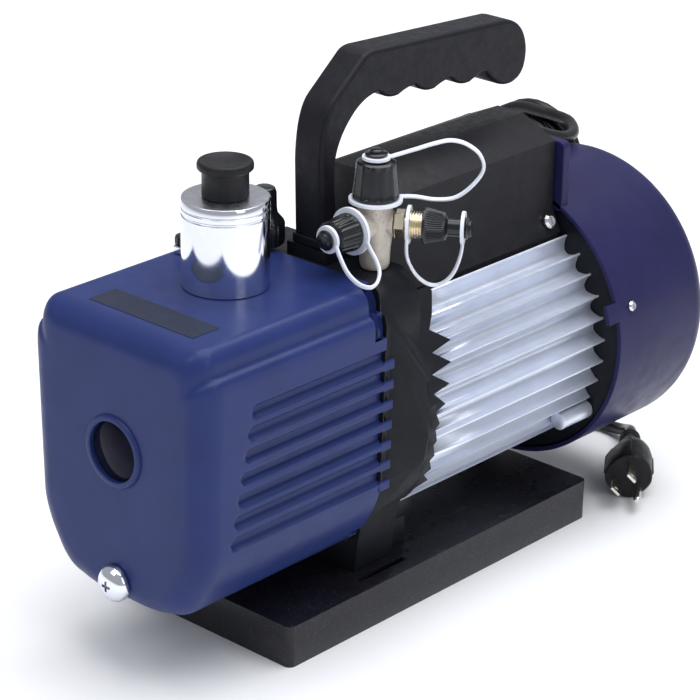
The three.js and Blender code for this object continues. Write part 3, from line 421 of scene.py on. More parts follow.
def rounded_copy(node, name, material, slot_name, rounding, body=ROOT):
    """The CAD node's own shape with rounded edges."""
    bm = node_shape(node)
    bmesh.ops.remove_doubles(bm, verts=bm.verts, dist=1e-3)
    bmesh.ops.dissolve_limit(bm, angle_limit=math.radians(0.5), verts=bm.verts, edges=bm.edges)
    piece = new_object(name, bm, material, rounding)
    return place(piece, slot_name, node, body=body)


def carve(piece, cutter_bm, crossing=False):
    """Cuts the cutter's shape out of the piece's mesh. A cutter whose own parts cross each
    other has to say so."""
    cutter = new_object("cutter", cutter_bm, piece.data.materials[0])
    boolean = piece.modifiers.new("cut", "BOOLEAN")
    boolean.object = cutter
    boolean.solver = "EXACT"
    boolean.use_self = crossing
    bpy.context.view_layer.update()
    graph = bpy.context.evaluated_depsgraph_get()
    result = bpy.data.meshes.new_from_object(piece.evaluated_get(graph))
    piece.modifiers.remove(boolean)
    old = piece.data
    piece.data = result
    bpy.data.meshes.remove(old)
    bpy.data.objects.remove(cutter)
    result.set_sharp_from_angle(angle=math.radians(35))


# ---------------------------------------------------------------- mains lead
CORD_RADIUS = 3.7
COIL_X = -60
COIL_TOP = 169
COIL_FOOT = 37.7
# The four places that the lead's turns take: (bend radius, y).
COIL_SLOTS = [(33.5, 208.5), (25.8, 208.5), (25.8, 216.2), (33.5, 216.2)]
# From the strain relief to the top of the coil.
LEAD_ROUTE = [(-12, 144.4, 213), (-12, 149, 212.9), (-11.5, 157, 210.8), (-10.6, 168, 206.4),
              (-10.2, 180, 202.5), (-13.5, 192, 201.3), (-21.5, 201.8, 201.5),
              (-30, 207, 202.3), (-42, 208.5, 202.5), (-52, 208.5, 202.5)]
# From the foot of the coil along the floor to the plug.
TAIL_ROUTE = [(-52, 216.2, 4.2), (-44, 216.2, 4.2), (-36.7, 216.2, 4.2), (-29, 217.5, 4.1),
              (-21.5, 220.8, 4), (-13.5, 224.4, 4), (-5, 226.4, 4.1), (4, 226.2, 4.8),
              (12.5, 223.7, 6.8), (19.2, 219.8, 9.8), (24.4, 214.9, 12.7),
              (28.3, 209.9, 14.2), (31, 206.2, 14.4)]


def coil_arc(bend, y, centre_z, start, end, steps):
    """Points round one end of the coil, with angles counted from +X towards +Z."""
    points = []
    for k in range(steps + 1):
        angle = math.radians(start + (end - start) * k / steps)
        points.append(Vector((COIL_X + bend * math.cos(angle), y,
                              centre_z + bend * math.sin(angle))))
    return points


def coil_leg(here, there, share, start_z, end_z, steps=14):
    """Points up one leg of the coil. The lead changes from one place to the next within one
    third of the height, and share says which: 0 is the lowest."""
    points = []
    for k in range(1, steps):
        t = k / steps
        move = min(1, max(0, t * 3 - share))
        move = move * move * (3 - 2 * move)
        bend = here[0] + (there[0] - here[0]) * move
        y = here[1] + (there[1] - here[1]) * move
        points.append(Vector((COIL_X + bend, y, start_z + (end_z - start_z) * t)))
    return points


def lead_route():
    """The lead's whole centreline: from the strain relief, round the coil, to the plug."""
    route = smooth_route(LEAD_ROUTE)
    for k, slot in enumerate(COIL_SLOTS):
        first = k == 0
        last = k == len(COIL_SLOTS) - 1
        route += coil_arc(*slot, COIL_TOP, 90 if first else 0, 180, 8 if first else 16)
        route += coil_arc(*slot, COIL_FOOT, 180, 270 if last else 360, 8 if last else 16)
        if not last:
            route += coil_leg(slot, COIL_SLOTS[k + 1], 2 - k, COIL_FOOT, COIL_TOP)
    return [p * MM for p in route + smooth_route(TAIL_ROUTE)]


def make_lead():
    """One round cord along the whole route, which ends at the plug."""
    route = lead_route()
    length = sum((b - a).length for a, b in zip(route, route[1:]))
    data = bpy.data.curves.new("mains_lead", "CURVE")
    data.dimensions = "3D"
    data.bevel_depth = CORD_RADIUS * MM
    data.bevel_resolution = 5
    data.use_fill_caps = True
    spline = data.splines.new("POLY")
    spline.points.add(len(route) - 1)
    for point, position in zip(spline.points, route):
        point.co = (*position, 1)
    spline.use_smooth = True
    data.materials.append(JACKET)
    lead = bpy.data.objects.new("mains_lead", data)
    bpy.context.scene.collection.objects.link(lead)
    place(lead, "cord", "power_cord_lead", "power_cord_coil", "power_cord_tail")
    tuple(route[0])


PLUG_TURN = (Matrix.Translation((65.5, 159, 14.4))
             @ Matrix.Rotation(math.radians(-143.8), 4, "Z")
             @ Matrix.Rotation(math.radians(45), 4, "Y"))
PLUG_RADIUS = 14


def plug_ring(y, wide, high):
    """A cross section between round and square, kept inside the plug's radius."""
    ring = []
    steps = 64
    squareness, shrink = 0.8, 0.99
    for k in range(steps):
        angle = 2 * math.pi * k / steps
        c, s = math.cos(angle), math.sin(angle)
        x = wide * math.copysign(abs(c) ** squareness, c) * shrink
        z = high * math.copysign(abs(s) ** squareness, s) * shrink
        limit = min(1, PLUG_RADIUS / math.hypot(x, z))
        ring.append(PLUG_TURN @ Vector((x * limit, y, z * limit)))
    return ring


def make_plug():
    """The moulded plug, with raised panels on two faces and a ribbed neck."""
    bm = bmesh.new()
    # Each row is a cross section: (y, half width, half height).
    sections = [(-58, 4.8, 4.8), (-56, 5.4, 5.4), (-50, 5.7, 5.7), (-44, 6.4, 6.3),
                (-38.5, 7.6, 7.2), (-34, 10.4, 8.6), (-29, 13, 10.6), (-22, 13.9, 12.2),
                (-12, 14, 13.2), (-3, 13.9, 13.6), (-1, 13.6, 13.3), (0, 12.8, 12.6)]
    loft(bm, [plug_ring(*section) for section in sections])
    panel_at, panel_half = 9.6, 0.4
    for side in (-1, 1):
        panel = rounded([(side * 4.6, -32), (side * 10.6, -27), (side * 11.2, -4),
                         (side * 4.6, -4)], 2)
        for face in (-1, 1):
            middle = face * panel_at
            slab(bm, panel, middle - panel_half, middle + panel_half, PLUG_TURN)
    body = place(new_object("plug_moulding", bm, RUBBER, 0.3, 2), "rubber", "plug_body")
    ribs = bmesh.new()
    for k in range(5):
        outer = 6.3 + 0.12 * k
        spin(ribs, [(4.6, -0.8), (outer, -0.8), (outer, 0.8), (4.6, 0.8)],
             PLUG_TURN @ about_y(0, 0, -54 + 3.2 * k), 40)
    neck = place(new_object("plug_neck_ribs", ribs, RUBBER, 0.3, 2), "rubber")
    return [body, neck]


def make_strain_relief():
    """A flanged sleeve that gets thinner along the lead in six steps."""
    bm = bmesh.new()
    profile = [(3.9, -3), (5.2, -3), (5.2, 0.3), (7.4, 0.3), (7.4, 2.6), (6.4, 3.4)]
    for k in range(6):
        start = 4 + 3.9 * k
        radius = 6.2 - 0.24 * k
        profile += [(radius, start), (radius - 0.1, start + 2.2), (radius - 1, start + 2.5),
                    (radius - 1.05, start + 3.4)]
    profile += [(4.9, 27.4), (4.4, 28), (3.8, 28)]
    spin(bm, profile, about_y(-12, 213, 116), 48)
    place(new_object("lead_strain_relief", bm, RUBBER, 0.25, 2), "rubber", "strain_relief")


# ---------------------------------------------------------------- oil cover
# The right half of the cover's outline, from its lower edge up: (x, z).
COVER_OUTLINE = [(22, 39.5), (40, 44), (47, 50), (57, 66), (62, 80), (64.5, 174), (63.6, 179.6),
                 (59.6, 181), (59.2, 189.5), (54.5, 195)]
COVER_SIDE = 64.5  # half the width at the shoulder, where the cover is widest
COVER_SHOULDER = 174
COVER_TAPER = 0.0266  # how much each side leans out, per unit of height
COVER_MIDDLE = 120
COVER_HALF_HEIGHT = 75
COVER_EDGE = 14
COVER_FRONT = -191
COVER_REAR = -58.2
COVER_TOP = 195
GROOVE_COUNT = 7
GROOVE_PITCH = 11.6
GROOVE_TOP = 157
GROOVE_FRONT = -153
GROOVE_HALF_WIDTH = 3.9
GROOVE_SINK = 3.4
GROOVED_BAND = (80, 166)  # the heights between which the side has grooves
SIGHT_Z = 127
DRAIN_Z = 53.2


def resample(outline, spacing):
    """Evenly spaced points round a closed outline."""
    closed = [Vector(p) for p in outline] + [Vector(outline[0])]
    lengths = [0]
    for a, b in zip(closed, closed[1:]):
        lengths.append(lengths[-1] + (b - a).length)
    count = int(lengths[-1] / spacing)
    points = []
    k = 0
    for i in range(count):
        want = lengths[-1] * i / count
        while lengths[k + 1] < want:
            k += 1
        t = (want - lengths[k]) / max(1e-9, lengths[k + 1] - lengths[k])
        points.append(closed[k].lerp(closed[k + 1], t))
    return points


def groove_depth(y, z):
    """How far the cover's side is pressed in at this place."""
    depth = 0
    for i in range(GROOVE_COUNT):
        off = z - (GROOVE_TOP - GROOVE_PITCH * i)
        beyond = max(GROOVE_FRONT - 2.2 * i - y, 0)
        distance = math.hypot(off, beyond)
        if distance < GROOVE_HALF_WIDTH:
            share = 1 - (distance / GROOVE_HALF_WIDTH) ** 2
            depth = max(depth, GROOVE_SINK * min(1, share * 1.3))
    return depth


def cover_ring(outline, inset, y, grooved):
    """The cover's outline at this y, drawn in towards its middle by the inset."""
    wide = 1 - inset / COVER_SIDE
    high = 1 - inset / COVER_HALF_HEIGHT
    band_low, band_high = GROOVED_BAND
    points = []
    for x, z in outline:
        px = x * wide
        pz = COVER_MIDDLE + (z - COVER_MIDDLE) * high
        if grooved and band_low < pz < band_high:
            px -= math.copysign(groove_depth(y, pz), px)
        points.append(Vector((px, y, pz)))
    return points


def cover_rings():
    """Rings from the cover's rear edge, round its front edge and into the sight port."""
    corners = COVER_OUTLINE + [(-x, z) for x, z in reversed(COVER_OUTLINE)]
    outline = resample(rounded(corners, 7, 8), 0.95)
    rings = []
    side_steps, edge_steps = 82, 12
    side_front = COVER_FRONT + COVER_EDGE
    for k in range(side_steps + 1):
        y = COVER_REAR + (side_front - COVER_REAR) * k / side_steps
        rings.append(cover_ring(outline, 0, y, True))
    for k in range(1, edge_steps + 1):
        angle = math.pi / 2 * k / edge_steps
        inset = COVER_EDGE * (1 - math.cos(angle))
        y = COVER_FRONT + COVER_EDGE * (1 - math.sin(angle))
        rings.append(cover_ring(outline, inset, y, False))
    centre = Vector((0, COVER_FRONT, SIGHT_Z))
    port_radius, port_depth = 18.4, 9
    edge = rings[-1]
    for share in (0.25, 0.5, 0.75, 1):
        rings.append([p.lerp(centre + (p - centre).normalized() * port_radius, share)
                      for p in edge])
    rings.append([p + Vector((0, port_depth, 0)) for p in rings[-1]])
    return rings


def corner_notch(bm, side, across, heights, rear):
    """A round-cornered cutter for the notch that a cover screw stands in."""
    (x0, x1), (z0, z1) = across, heights
    outline = rounded([(side * x0, z0), (side * x1, z0), (side * x1, z1), (side * x0, z1)],
                      1.8, 5)
    slab(bm, outline, COVER_REAR - 9, rear, ALONG_SHAFT)


def screw_notches():
    """Each screw stands on a seat. Beside and above it, its notch is open to the rear."""
    notches = bmesh.new()
    seat = COVER_REAR - 3.5
    open_rear = 0
    outside, above, below = 76, 204, 24
    for side in (-1, 1):
        corner_notch(notches, side, (51.3, outside), (168, above), seat)
        corner_notch(notches, side, (51.3, outside), (181, above), open_rear)
        corner_notch(notches, side, (60.5, outside), (168, above), open_rear)
        corner_notch(notches, side, (34, outside), (below, 54), seat)
        corner_notch(notches, side, (45, outside), (below, 54), open_rear)
    return notches


def make_rib_tails():
    """The ends of the ribs between the grooves, which reach past the cover's rear edge."""
    tails = bmesh.new()
    thickness, half_height, tail_end = 2.2, 2.8, -51.2
    for i in range(GROOVE_COUNT):
        z = GROOVE_TOP - GROOVE_PITCH * (i + 0.5)
        outer = COVER_SIDE - (COVER_SHOULDER - z) * COVER_TAPER
        inner = outer - thickness
        low, high = z - half_height, z + half_height
        for side in (-1, 1):
            tail = [(side * inner, low), (side * outer, low), (side * outer, high),
                    (side * inner, high)]
            slab(tails, rounded(tail, 1, 3), COVER_REAR - 1, tail_end, ALONG_SHAFT)
    place(new_object("oil_cover_rib_tails", tails, BLUE, 0.3, 2), "blue_paint", "oil_cover")


def make_oil_cover():
    bm = bmesh.new()
    loft(bm, cover_rings())
    cover = new_object("oil_cover_shell", bm, BLUE)
    carve(cover, screw_notches(), crossing=True)
    make_rib_tails()
    place(cover, "blue_paint", "oil_cover")


def make_cover_details():
    """The sight glass in its bezel, and a blank label on the cover's top."""
    sight = about_y(0, SIGHT_Z, COVER_FRONT)
    bezel = bmesh.new()
    spin(bezel, [(16.3, 5), (16.3, -1.4), (16.7, -1.8), (18.4, -1.8), (19.2, -1.5),
                 (19.9, -0.4), (19.9, 0.1), (18, 0.1), (18, 5)], sight)
    place(new_object("sight_bezel_ring", bezel, BLUE, 0.2, 2), "black_plastic",
          "sight_glass_bezel")
    glass = bmesh.new()
    spin(glass, [(0.01, 4.5), (16, 4.5), (16, 0.9), (15.4, 0.5), (0.01, 0.3)], sight)
    place(new_object("sight_window_disc", glass, WINDOW), "sight_glass", "sight_glass")
    label = bmesh.new()
    outline = rounded([(-35, -174), (40, -174), (40, -155), (-35, -155)], 1.2)
    slab(label, outline, COVER_TOP, COVER_TOP + 0.25)
    place(new_object("blank_top_label", label, LABEL, 0.08, 2), "black_plastic")


def make_drain_plug():
    """A domed disc with a cross recess, facing the front."""
    dome = [(0.01, -199), (2.4, -198.9), (4.5, -198.5), (6.4, -197.8), (8, -196.8),
            (9.3, -195.3), (10, -193.9), (10, -191.8), (9.6, -191.3)]
    shank = [(3.4, -191.3), (3.4, -177.3), (0.01, -177.3)]
    bm = bmesh.new()
    spin(bm, dome + shank, about_y(0, DRAIN_Z))
    plug = new_object("drain_plug_head", bm, CHROME)
    recess = bmesh.new()
    long_half, short_half = 3, 0.8
    for wide, high in ((long_half, short_half), (short_half, long_half)):
        low, top = DRAIN_Z - high, DRAIN_Z + high
        corners = rounded([(-wide, low), (wide, low), (wide, top), (-wide, top)], 0.3, 3)
        slab(recess, corners, -200, -196.6, ALONG_SHAFT)
    carve(plug, recess, crossing=True)
    place(plug, "chrome", "drain_plug", body="drain_plug")


# ---------------------------------------------------------------- exhaust and top fittings
EXHAUST_Y = -111
CAN_RIM = 243  # height of the exhaust can's flat top


def make_exhaust_can():
    """A can with two rim grooves and a satin top, on a short neck."""
    can = bmesh.new()
    top = CAN_RIM
    neck = [(6.6, 183.4), (8.6, 183.4), (8.6, 195.4)]
    outside = [(22.9, 195.4), (22.9, top - 9.2), (22.3, top - 8.9), (22.3, top - 8.1),
               (22.9, top - 7.8), (22.9, top - 5.6), (22.5, top - 5.3), (22.5, top - 4.9),
               (22.9, top - 4.6), (22.9, top - 0.9), (22.5, top - 0.2), (21.8, top), (9.6, top)]
    inside = [(9.6, top - 2), (21, top - 2), (21, 197.4), (6.6, 197.4), (6.6, 183.4)]
    spin(can, neck + outside + inside, Matrix.Translation((0, EXHAUST_Y, 0)), 128)
    body = new_object("exhaust_can", can, CHROME, 0.15, 2)
    body.data.materials.append(CAN_TOP)
    for face in body.data.polygons:
        if face.normal.z > 0.9 and face.center.z > (top - 1) * MM:
            face.material_index = 1
    place(body, "chrome", "exhaust_body")


def make_exhaust_plug():
    plug = bmesh.new()
    top = CAN_RIM
    stem = [(0.01, top - 12), (8.6, top - 12), (9.2, top + 0.3), (12, top + 0.3),
            (12.2, top + 1), (12.1, top + 13.2), (12.5, top + 14)]
    head = [(14, top + 14.5), (14.6, top + 15.4), (14.6, top + 17.4), (14.2, top + 18.6),
            (13.3, top + 19.2), (12, top + 19), (10.6, top + 18), (0.01, top + 17.6)]
    spin(plug, stem + head, Matrix.Translation((0, EXHAUST_Y, 0)))
    place(new_object("exhaust_stopper", plug, RUBBER, 0.5, 3), "rubber", "exhaust_plug",
          body="exhaust_plug")


def make_gas_ballast_knob():
    knob = bmesh.new()
    grip = [(0.01, 197), (9.5, 197), (10.6, 198), (11, 199.4), (11, 209), (10.3, 210.6),
            (8.6, 212.6), (7.1, 214.6)]
    tip = [(6.7, 218), (6.5, 226), (5.8, 228.2), (4.4, 229), (0.01, 229)]
    spin(knob, grip + tip, Matrix.Translation((-23.5, -58.5, 0)), 144,
         ribs=(24, 0.5, 198.5, 210))
    place(new_object("gas_ballast_knob_body", knob, CAP_BLACK, 0.3, 2), "black_plastic",
          "gas_ballast_knob", body="gas_ballast_knob")


def make_fill_fitting():
    """A chrome hexagon nut with a small ribbed cap."""
    spot = Matrix.Translation((-48, -94, 0))
    nut = bmesh.new()
    spin(nut, [(0.01, 195.3), (6, 195.3), (6, 198.9), (5.4, 199.4), (0.01, 199.4)], spot, 6)
    place(new_object("fill_fitting_nut", nut, CHROME, 0.25, 2), "zinc_screw", "fill_fitting")
    lid = bmesh.new()
    spin(lid, [(0.01, 199.7), (4.6, 199.7), (5, 200.2), (5, 203.4), (4.6, 204.4), (3.4, 205),
               (0.01, 205)], spot, ribs=(16, 0.35, 200, 203.6))
    place(new_object("fill_cap_lid", lid, CAP_BLACK, 0.2, 2), "black_plastic", "fill_cap",
          body="fill_cap")


# ---------------------------------------------------------------- inlet
# Each arm's frame: OUTWARDS turns a shape made about local Z onto the arm's local Y.
LEFT_ARM = Matrix.Translation(TEE) @ Matrix.Rotation(math.pi, 4, "Z")
RIGHT_ARM = Matrix.Translation(TEE) @ Matrix.Rotation(RIGHT_ARM_TURN, 4, "Z")
OUTWARDS = Matrix.Rotation(-math.pi / 2, 4, "X")


def make_tee():
    """A cast upright with a threaded top, a threaded left arm and a short right arm."""
    bm = bmesh.new()
    thread = 7.4
    upright = [(0.01, -24.7), (6.9, -24.7), (7.3, -24.1), (8, -22), (8.3, -14), (9, -8),
               (9.2, -3), (9.2, 10.8), (8.6, 11.6), (thread, 11.6), (thread, 26), (0.01, 26)]
    spin(bm, upright, RIGHT_ARM, 64)
    spin(bm, [(0.01, 0), (thread, 0), (thread, 28), (0.01, 28)], LEFT_ARM @ OUTWARDS, 64)
    spin(bm, [(0.01, 0), (6.6, 0), (6.6, 9.8), (0.01, 9.8)], RIGHT_ARM @ OUTWARDS, 64)
    place(new_object("inlet_tee_body", bm, CAST_BRASS, 0.3, 2), "cast_brass", "inlet_tee")


def make_adapter():
    """A hexagon with a thread drawn as separate ridges."""
    bm = bmesh.new()
    turn = RIGHT_ARM @ OUTWARDS
    hexagon = [(0.01, 10.3), (6.9, 10.3), (8, 11.1), (8, 15.6), (6.9, 16.4), (0.01, 16.4)]
    spin(bm, hexagon, turn, 6)
    root, crest, pitch = 6.5, 7.4, 1.41
    profile = [(0.01, 16), (root, 16)]
    for k in range(9):
        start = 16.9 + pitch * k
        profile += [(root, start), (crest, start + 0.5), (crest, start + 0.8),
                    (root, start + 1.3)]
    profile += [(5.8, 30.8), (0.01, 30.8)]
    spin(bm, profile, turn, 64)
    place(new_object("inlet_adapter_body", bm, BRASS, 0.15, 2), "brass", "inlet_adapter")


class Cap:
    """The sizes of one flare cap along its arm, in millimetres."""

    def __init__(self, start, mouth, depth, body, length, neck, neck_length, flange, tip):
        self.start = start
        self.mouth = mouth
        self.depth = depth
        self.body = body
        self.end = start + length
        self.neck = neck
        self.neck_end = self.end + neck_length
        self.flange = flange
        self.tip = tip


TOP_CAP = Cap(start=14.4, mouth=12.5, depth=13, body=10.7, length=19.8, neck=3.4,
              neck_length=2.8, flange=6, tip=3.4)
LEFT_CAP = Cap(start=20, mouth=10.2, depth=9.6, body=9.2, length=14.5, neck=3.4,
               neck_length=2.8, flange=5.4, tip=4.2)
RIGHT_CAP = Cap(start=25.3, mouth=9.6, depth=6, body=7.4, length=12.6, neck=4.8,
                neck_length=9.5, flange=6, tip=4.6)


def make_flare_cap(name, facts, turn, ribs, rib_depth):
    """A ribbed cap with a neck for its tether's eye, and a nub that holds the eye on."""
    start, end = facts.start, facts.end
    bore = 7.7
    profile = [(0.01, start + facts.depth), (bore, start + facts.depth), (bore, start),
               (facts.mouth - 0.4, start), (facts.mouth, start + 0.4),
               (facts.mouth, start + 1.2)]
    steps = 8
    for k in range(steps + 1):
        t = k / steps
        profile.append((facts.mouth + (facts.body - facts.mouth) * t - 0.1,
                        start + 1.7 + (end - start - 3.2) * t))
    profile += [(facts.body - 0.3, end - 0.9), (facts.body - 1.2, end - 0.2),
                (facts.body - 2, end), (facts.neck + 0.3, end + 0.1), (facts.neck, end + 0.5),
                (facts.neck, facts.neck_end)]
    ledge = facts.neck_end + 0.3
    profile += [(facts.flange - 0.3, ledge), (facts.flange, ledge + 0.3),
                (facts.flange, ledge + 0.8), (facts.flange - 0.4, ledge + 1.1),
                (facts.tip, ledge + 1.4), (facts.tip, ledge + 2.6),
                (facts.tip - 0.5, ledge + 3), (0.01, ledge + 3.2)]
    bm = bmesh.new()
    spin(bm, profile, turn, 240, ribs=(ribs, rib_depth, start + 1.6, end - 1.4))
    place(new_object(name + "_shell", bm, CAP_BLACK), "black_plastic", name, body=name)


def make_tether(name, loop, eye_start, eye_radius, facts, turn, eye_turn):
    """A flat strap with an eye round the arm and an eye round the cap's neck."""
    bm = bmesh.new()
    route = smooth_route(loop, 6)
    middle = sum(route, Vector()) / len(route)
    across = Vector()
    for here, there in zip(route, route[1:]):
        across += (here - middle).cross(there - middle)
    flat = (turn.to_3x3() @ across).normalized()
    band(bm, [turn @ p for p in route], 1.7, 0.95, flat)
    spin(bm, ring_profile(7.8, eye_radius, eye_start, eye_start + 1.8), eye_turn)
    spin(bm, ring_profile(facts.neck + 0.7, facts.neck + 4, facts.neck_end - 2.1,
                          facts.neck_end - 0.3), eye_turn, 64)
    place(new_object(name + "_strap", bm, WHITE, 0.2, 2), "white_plastic", name)


def ring_profile(inner, outer, low, high):
    """The closed profile of a flat ring."""
    return [(inner, low), (outer, low), (outer, high), (inner, high), (inner, low)]


# The middle line of each tether's strap, from the arm's eye to the cap's, in its arm's frame.
LEFT_LOOP = [(-10.7, 18.8, -2.5), (-14.6, 19, -7.4), (-19.5, 20.7, -10.6), (-24.5, 23.5, -14.6),
             (-27.5, 28.7, -18.3), (-27.5, 34, -19.4), (-23, 37.6, -17.8), (-16, 38.4, -13.5),
             (-10, 37.6, -7), (-5.6, 36.2, -2)]
RIGHT_LOOP = [(7.4, 17.6, -4.6), (6.5, 17.7, -14.6), (5, 19.9, -21.7), (3, 23.5, -27.8),
              (1, 28.1, -31.9), (0, 33.3, -32.8), (0, 38.5, -29.6), (0, 42.5, -23.7),
              (0, 45.2, -15.1), (0, 46.2, -7)]
TOP_LOOP = [(-6.4, 10.6, 12.8), (-8, 19.6, 12.7), (-10, 29.9, 11.1), (-9.5, 40.4, 13),
            (-8, 49.2, 20.5), (-7, 55, 30), (-6, 53.1, 38.4), (-5, 46.3, 44), (-4, 38.5, 46),
            (-3, 30.4, 44.4), (-2, 19.7, 40.6), (-0.8, 6.2, 35.9)]


def make_inlet():
    make_tee()
    make_adapter()
    left, right = LEFT_ARM @ OUTWARDS, RIGHT_ARM @ OUTWARDS
    make_flare_cap("flare_cap_top", TOP_CAP, RIGHT_ARM, 12, 0.35)
    make_flare_cap("flare_cap_left", LEFT_CAP, left, 20, 0.4)
    make_flare_cap("flare_cap_right", RIGHT_CAP, right, 48, 0.4)
    make_tether("cap_strap_left", LEFT_LOOP, 17.8, 12.8, LEFT_CAP, LEFT_ARM, left)
    make_tether("cap_strap_right", RIGHT_LOOP, 16.8, 10.2, RIGHT_CAP, RIGHT_ARM, right)
    make_tether("cap_strap_top", TOP_LOOP, 11.9, 14.2, TOP_CAP, RIGHT_ARM, RIGHT_ARM)


# ---------------------------------------------------------------- handle
def bend(start, middle, end, steps=10):
    """Points of a quadratic curve, without its first one."""
    a, b, c = Vector(start), Vector(middle), Vector(end)
    return [tuple(a * (1 - t) ** 2 + b * 2 * t * (1 - t) + c * t * t)
            for t in ((k + 1) / steps for k in range(steps))]


HANDLE_FOOT = 199.3


def handle_outline():
    """The handle's side view in (y, z): up the front, over the top, back along the scallops."""
    side = [(-49.8, HANDLE_FOOT), (-51, 245)]
    side += bend(side[-1], (-50.5, 272), (-41, 280))
    side.append((-19, 298))
    side += bend(side[-1], (-16, 300.3), (-11, 300.3))
    side.append((98, 294.5))
    side += bend(side[-1], (115.5, 291), (116.8, 274))
    side += bend(side[-1], (117, 257.5), (103, 256.6))
    side += bend(side[-1], (91, 256.6), (82.5, 267.7))
    pitch, rise = 29.4, 2.9
    for i in range(3):
        y = 82.5 - pitch * i
        z = 267.7 + rise * i
        side += bend(side[-1], (y - 6, z + 0.6), (y - 14, z - 2.6))
        side += bend(side[-1], (y - 23, z - 3.4), (y - pitch, z + rise))
    side += bend(side[-1], (-18, 276), (-27.4, 266.5))
    side += bend(side[-1], (-40, 254), (-39.5, 238))
    side += bend(side[-1], (-38.6, 218), (-36.4, HANDLE_FOOT))
    return side


def make_handle():
    bm = bmesh.new()
    half_width = 10.25
    # The outline lies in Y and Z, and is raised along X.
    turn = Matrix(((0, 0, 1, 0), (1, 0, 0, 0), (0, 1, 0, 0), (0, 0, 0, 1)))
    slab(bm, handle_outline(), -half_width, half_width, turn)
    grip = new_object("carrying_handle", bm, HANDLE_BLACK, 3, 5, sharp=50)
    place(grip, "black_plastic", "handle")
    flange = bmesh.new()
    corners = [(-11.6, -50.6), (11.6, -50.6), (11.6, -34), (-11.6, -34)]
    slab(flange, rounded(corners, 2.5), HANDLE_FOOT, HANDLE_FOOT + 5)
    place(new_object("handle_foot_flange", flange, HANDLE_BLACK, 0.8, 3), "black_plastic")


# ---------------------------------------------------------------- motor
BARREL_RADIUS = 64
FIN_TIP = 72.2
CHANNEL_STEPS = (0.12, 0.18, 0.28, 0.4, 0.55, 0.7, 0.85, 1)


def gullet(t):
    """Height of the channel's side, from 0 at its floor to 1 at the fin's tip."""
    return max(0, 1 - math.sin(min(1, t * 1.08) * math.pi / 2) ** 0.75)


def fin_half_outline():
    """The frame's right half in (degrees, radius), from the top round to the bottom."""
    tips = [54.9 - 10.4 * i for i in range(9)] + [-38.6, -45, -55, -65, -75, -85]
    widest, tip_half = 5.2, 0.45
    height = FIN_TIP - BARREL_RADIUS
    half = [(90, BARREL_RADIUS)]
    for k, angle in enumerate(tips):
        before = tips[k - 1] if k else 65
        after = tips[k + 1] if k + 1 < len(tips) else -95
        up = min(widest, (before - angle) / 2)
        down = min(widest, (angle - after) / 2)
        for t in reversed(CHANNEL_STEPS):
            half.append((angle + up * t, BARREL_RADIUS + height * gullet(t)))
        half += [(angle + tip_half, FIN_TIP), (angle - tip_half, FIN_TIP)]
        for t in CHANNEL_STEPS:
            half.append((angle - down * t, BARREL_RADIUS + height * gullet(t)))
    return half


def make_stator():
    """The finned motor frame: fins with round-bottomed channels, and a boss for each tie bolt."""
    half = fin_half_outline()
    outline = []
    for side, row in ((1, half), (-1, list(reversed(half)))):
        for degrees, radius in row:
            angle = math.radians(degrees)
            outline.append((side * radius * math.cos(angle), AXIS_Z + radius * math.sin(angle)))
    bm = bmesh.new()
    loft(bm, [[Vector((x, y, z)) for x, z in outline] for y in (-26.7, 20, 70, 119.5)])
    boss_radius, boss_angle = 74, math.radians(-34.5)
    for side in (-1, 1):
        x = side * boss_radius * math.cos(boss_angle)
        z = AXIS_Z + boss_radius * math.sin(boss_angle)
        spin(bm, [(0.01, 93.5), (4.6, 93.5), (5.2, 94.2), (5.2, 119), (0.01, 119)],
             about_y(x, z), 40)
    motor_frame = new_object("finned_motor_frame", bm, ALUMINIUM, sharp=28)
    carve(motor_frame, node_shape("pump_housing"))
    place(motor_frame, "aluminium", "stator_frame")


FAN_COVER_RADIUS = 84.5
FAN_COVER_REAR = 204


def fan_cover_profile():
    """The cover's outside and inside, with a rounded rear edge: (radius, y)."""
    radius, rear = FAN_COVER_RADIUS, FAN_COVER_REAR
    front, wall, edge = 118, 2.5, 14
    thin = edge - wall
    angles = [math.pi / 2 * k / 12 for k in range(13)]
    middle = (radius - edge, rear - edge)
    outer = [(middle[0] + edge * math.cos(a), middle[1] + edge * math.sin(a)) for a in angles]
    inner = [(middle[0] + thin * math.cos(a), middle[1] + thin * math.sin(a))
             for a in reversed(angles)]
    lip = [(radius - wall, front), (radius - 0.4, front), (radius, front + 0.4)]
    return [(0.01, rear - wall)] + inner + lip + outer + [(0.01, rear)]


def make_fan_cover():
    bm = bmesh.new()
    spin(bm, fan_cover_profile(), about_y(), 144)
    cover = new_object("fan_cover_shell", bm, FAN_BLUE)
    holes = bmesh.new()
    hole_radius = 5.4
    for ring, count in ((32, 8), (50, 12)):
        for i in range(count):
            angle = 2 * math.pi * i / count
            spin(holes, [(hole_radius, FAN_COVER_REAR - 6), (hole_radius, FAN_COVER_REAR + 2)],
                 about_y(ring * math.cos(angle), AXIS_Z + ring * math.sin(angle)), 32)
    carve(cover, holes)
    place(cover, "blue_paint", "fan_cover")


def make_fan_cover_lip():
    """The raised lip behind the terminal box, with a notch for the lead."""
    lip = bmesh.new()
    outline = rounded([(-38, 184), (-38, 225), (-22, 225), (-22, 203), (-2, 203), (-2, 225),
                       (38, 225), (38, 184)], 4)
    slab(lip, outline, 118, 124, ALONG_SHAFT)
    place(new_object("fan_cover_lip", lip, FAN_BLUE, 0.8, 3), "blue_paint")


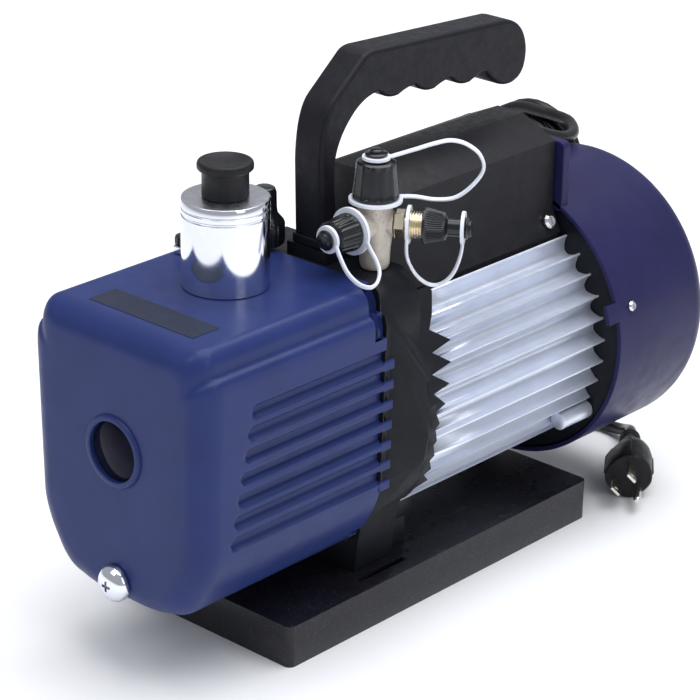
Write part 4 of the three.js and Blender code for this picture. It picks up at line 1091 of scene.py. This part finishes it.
def make_fan_cover_tabs():
    """A curved tab on each side of the cover's front edge."""
    tabs = bmesh.new()
    span = (12.4, 14.5, 17, 20)
    for side in (-1, 1):
        rings = []
        for y in (109, 119):
            ring = []
            for radius, angles in ((82.2, span), (FAN_COVER_RADIUS, reversed(span))):
                for degrees in angles:
                    angle = math.radians(degrees)
                    ring.append(Vector((side * radius * math.cos(angle), y,
                                        AXIS_Z + radius * math.sin(angle))))
            rings.append(ring)
        loft(tabs, rings)
    place(new_object("fan_cover_tabs", tabs, FAN_BLUE, 0.4, 2), "blue_paint")


# ---------------------------------------------------------------- carried-over CAD nodes
# Node, material, slot, and the rounding of its edges.
ROUNDED_COPIES = [
    ("base_pan", PAN_BLACK, "black_pan", 1.6),
    ("pump_housing", BLACK_CAST, "black_casting", 0.9),
    ("terminal_box", BOX_BLACK, "black_plastic", 1.1),
    ("switch_frame", CAP_BLACK, "black_plastic", 0.5),
    ("rear_end_shield", BLACK_CAST, "aluminium", 0.5),
    ("cord_tie", CAP_BLACK, "black_plastic", 0.4),
]
PLUG_PINS = ("plug_blade_left", "plug_blade_right", "plug_ground_pin")
NODE_MATERIALS = {
    ZINC: ("foot_bolt_left", "foot_bolt_right", "box_screw_left", "box_screw_right",
           "fan_cover_screw_left", "fan_cover_screw_right", "tie_bolt_left", "tie_bolt_right"),
    DARK_SCREW: ("cover_screw_left_top", "cover_screw_left_low", "cover_screw_right_top",
                 "cover_screw_right_low"),
    STEEL: ("shaft", "motor_rotor", "stator_core", "front_bearing", "rear_bearing", "pump_rotor"),
    COPPER: ("stator_winding",),
    IRON: ("pump_cylinder",),
    RUBBER: ("cover_gasket",),
    WHITE: ("cooling_fan",),
    VANE: ("vane_a", "vane_b"),
    BOX_BLACK: ("run_capacitor",),
    NICKEL: PLUG_PINS,
}


def finish_nodes():
    """Rounds the larger CAD nodes, and gives the small and hidden ones their materials."""
    for node, material, slot_name, rounding in ROUNDED_COPIES:
        rounded_copy(node, node + "_finished", material, slot_name, rounding)
    rounded_copy("switch_rocker", "switch_rocker_key", CAP_BLACK, "black_plastic", 0.4,
                 body="switch_rocker")
    for material, nodes in NODE_MATERIALS.items():
        for node in nodes:
            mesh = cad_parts[node].data
            mesh.materials.clear()
            mesh.materials.append(material)


make_camera()
make_studio()
plug_pieces = make_plug()
make_lead()
make_strain_relief()
make_oil_cover()
make_cover_details()
make_drain_plug()
make_exhaust_can()
make_exhaust_plug()
make_gas_ballast_knob()
make_fill_fitting()
make_inlet()
make_handle()
make_stator()
make_fan_cover()
make_fan_cover_lip()
make_fan_cover_tabs()
finish_nodes()
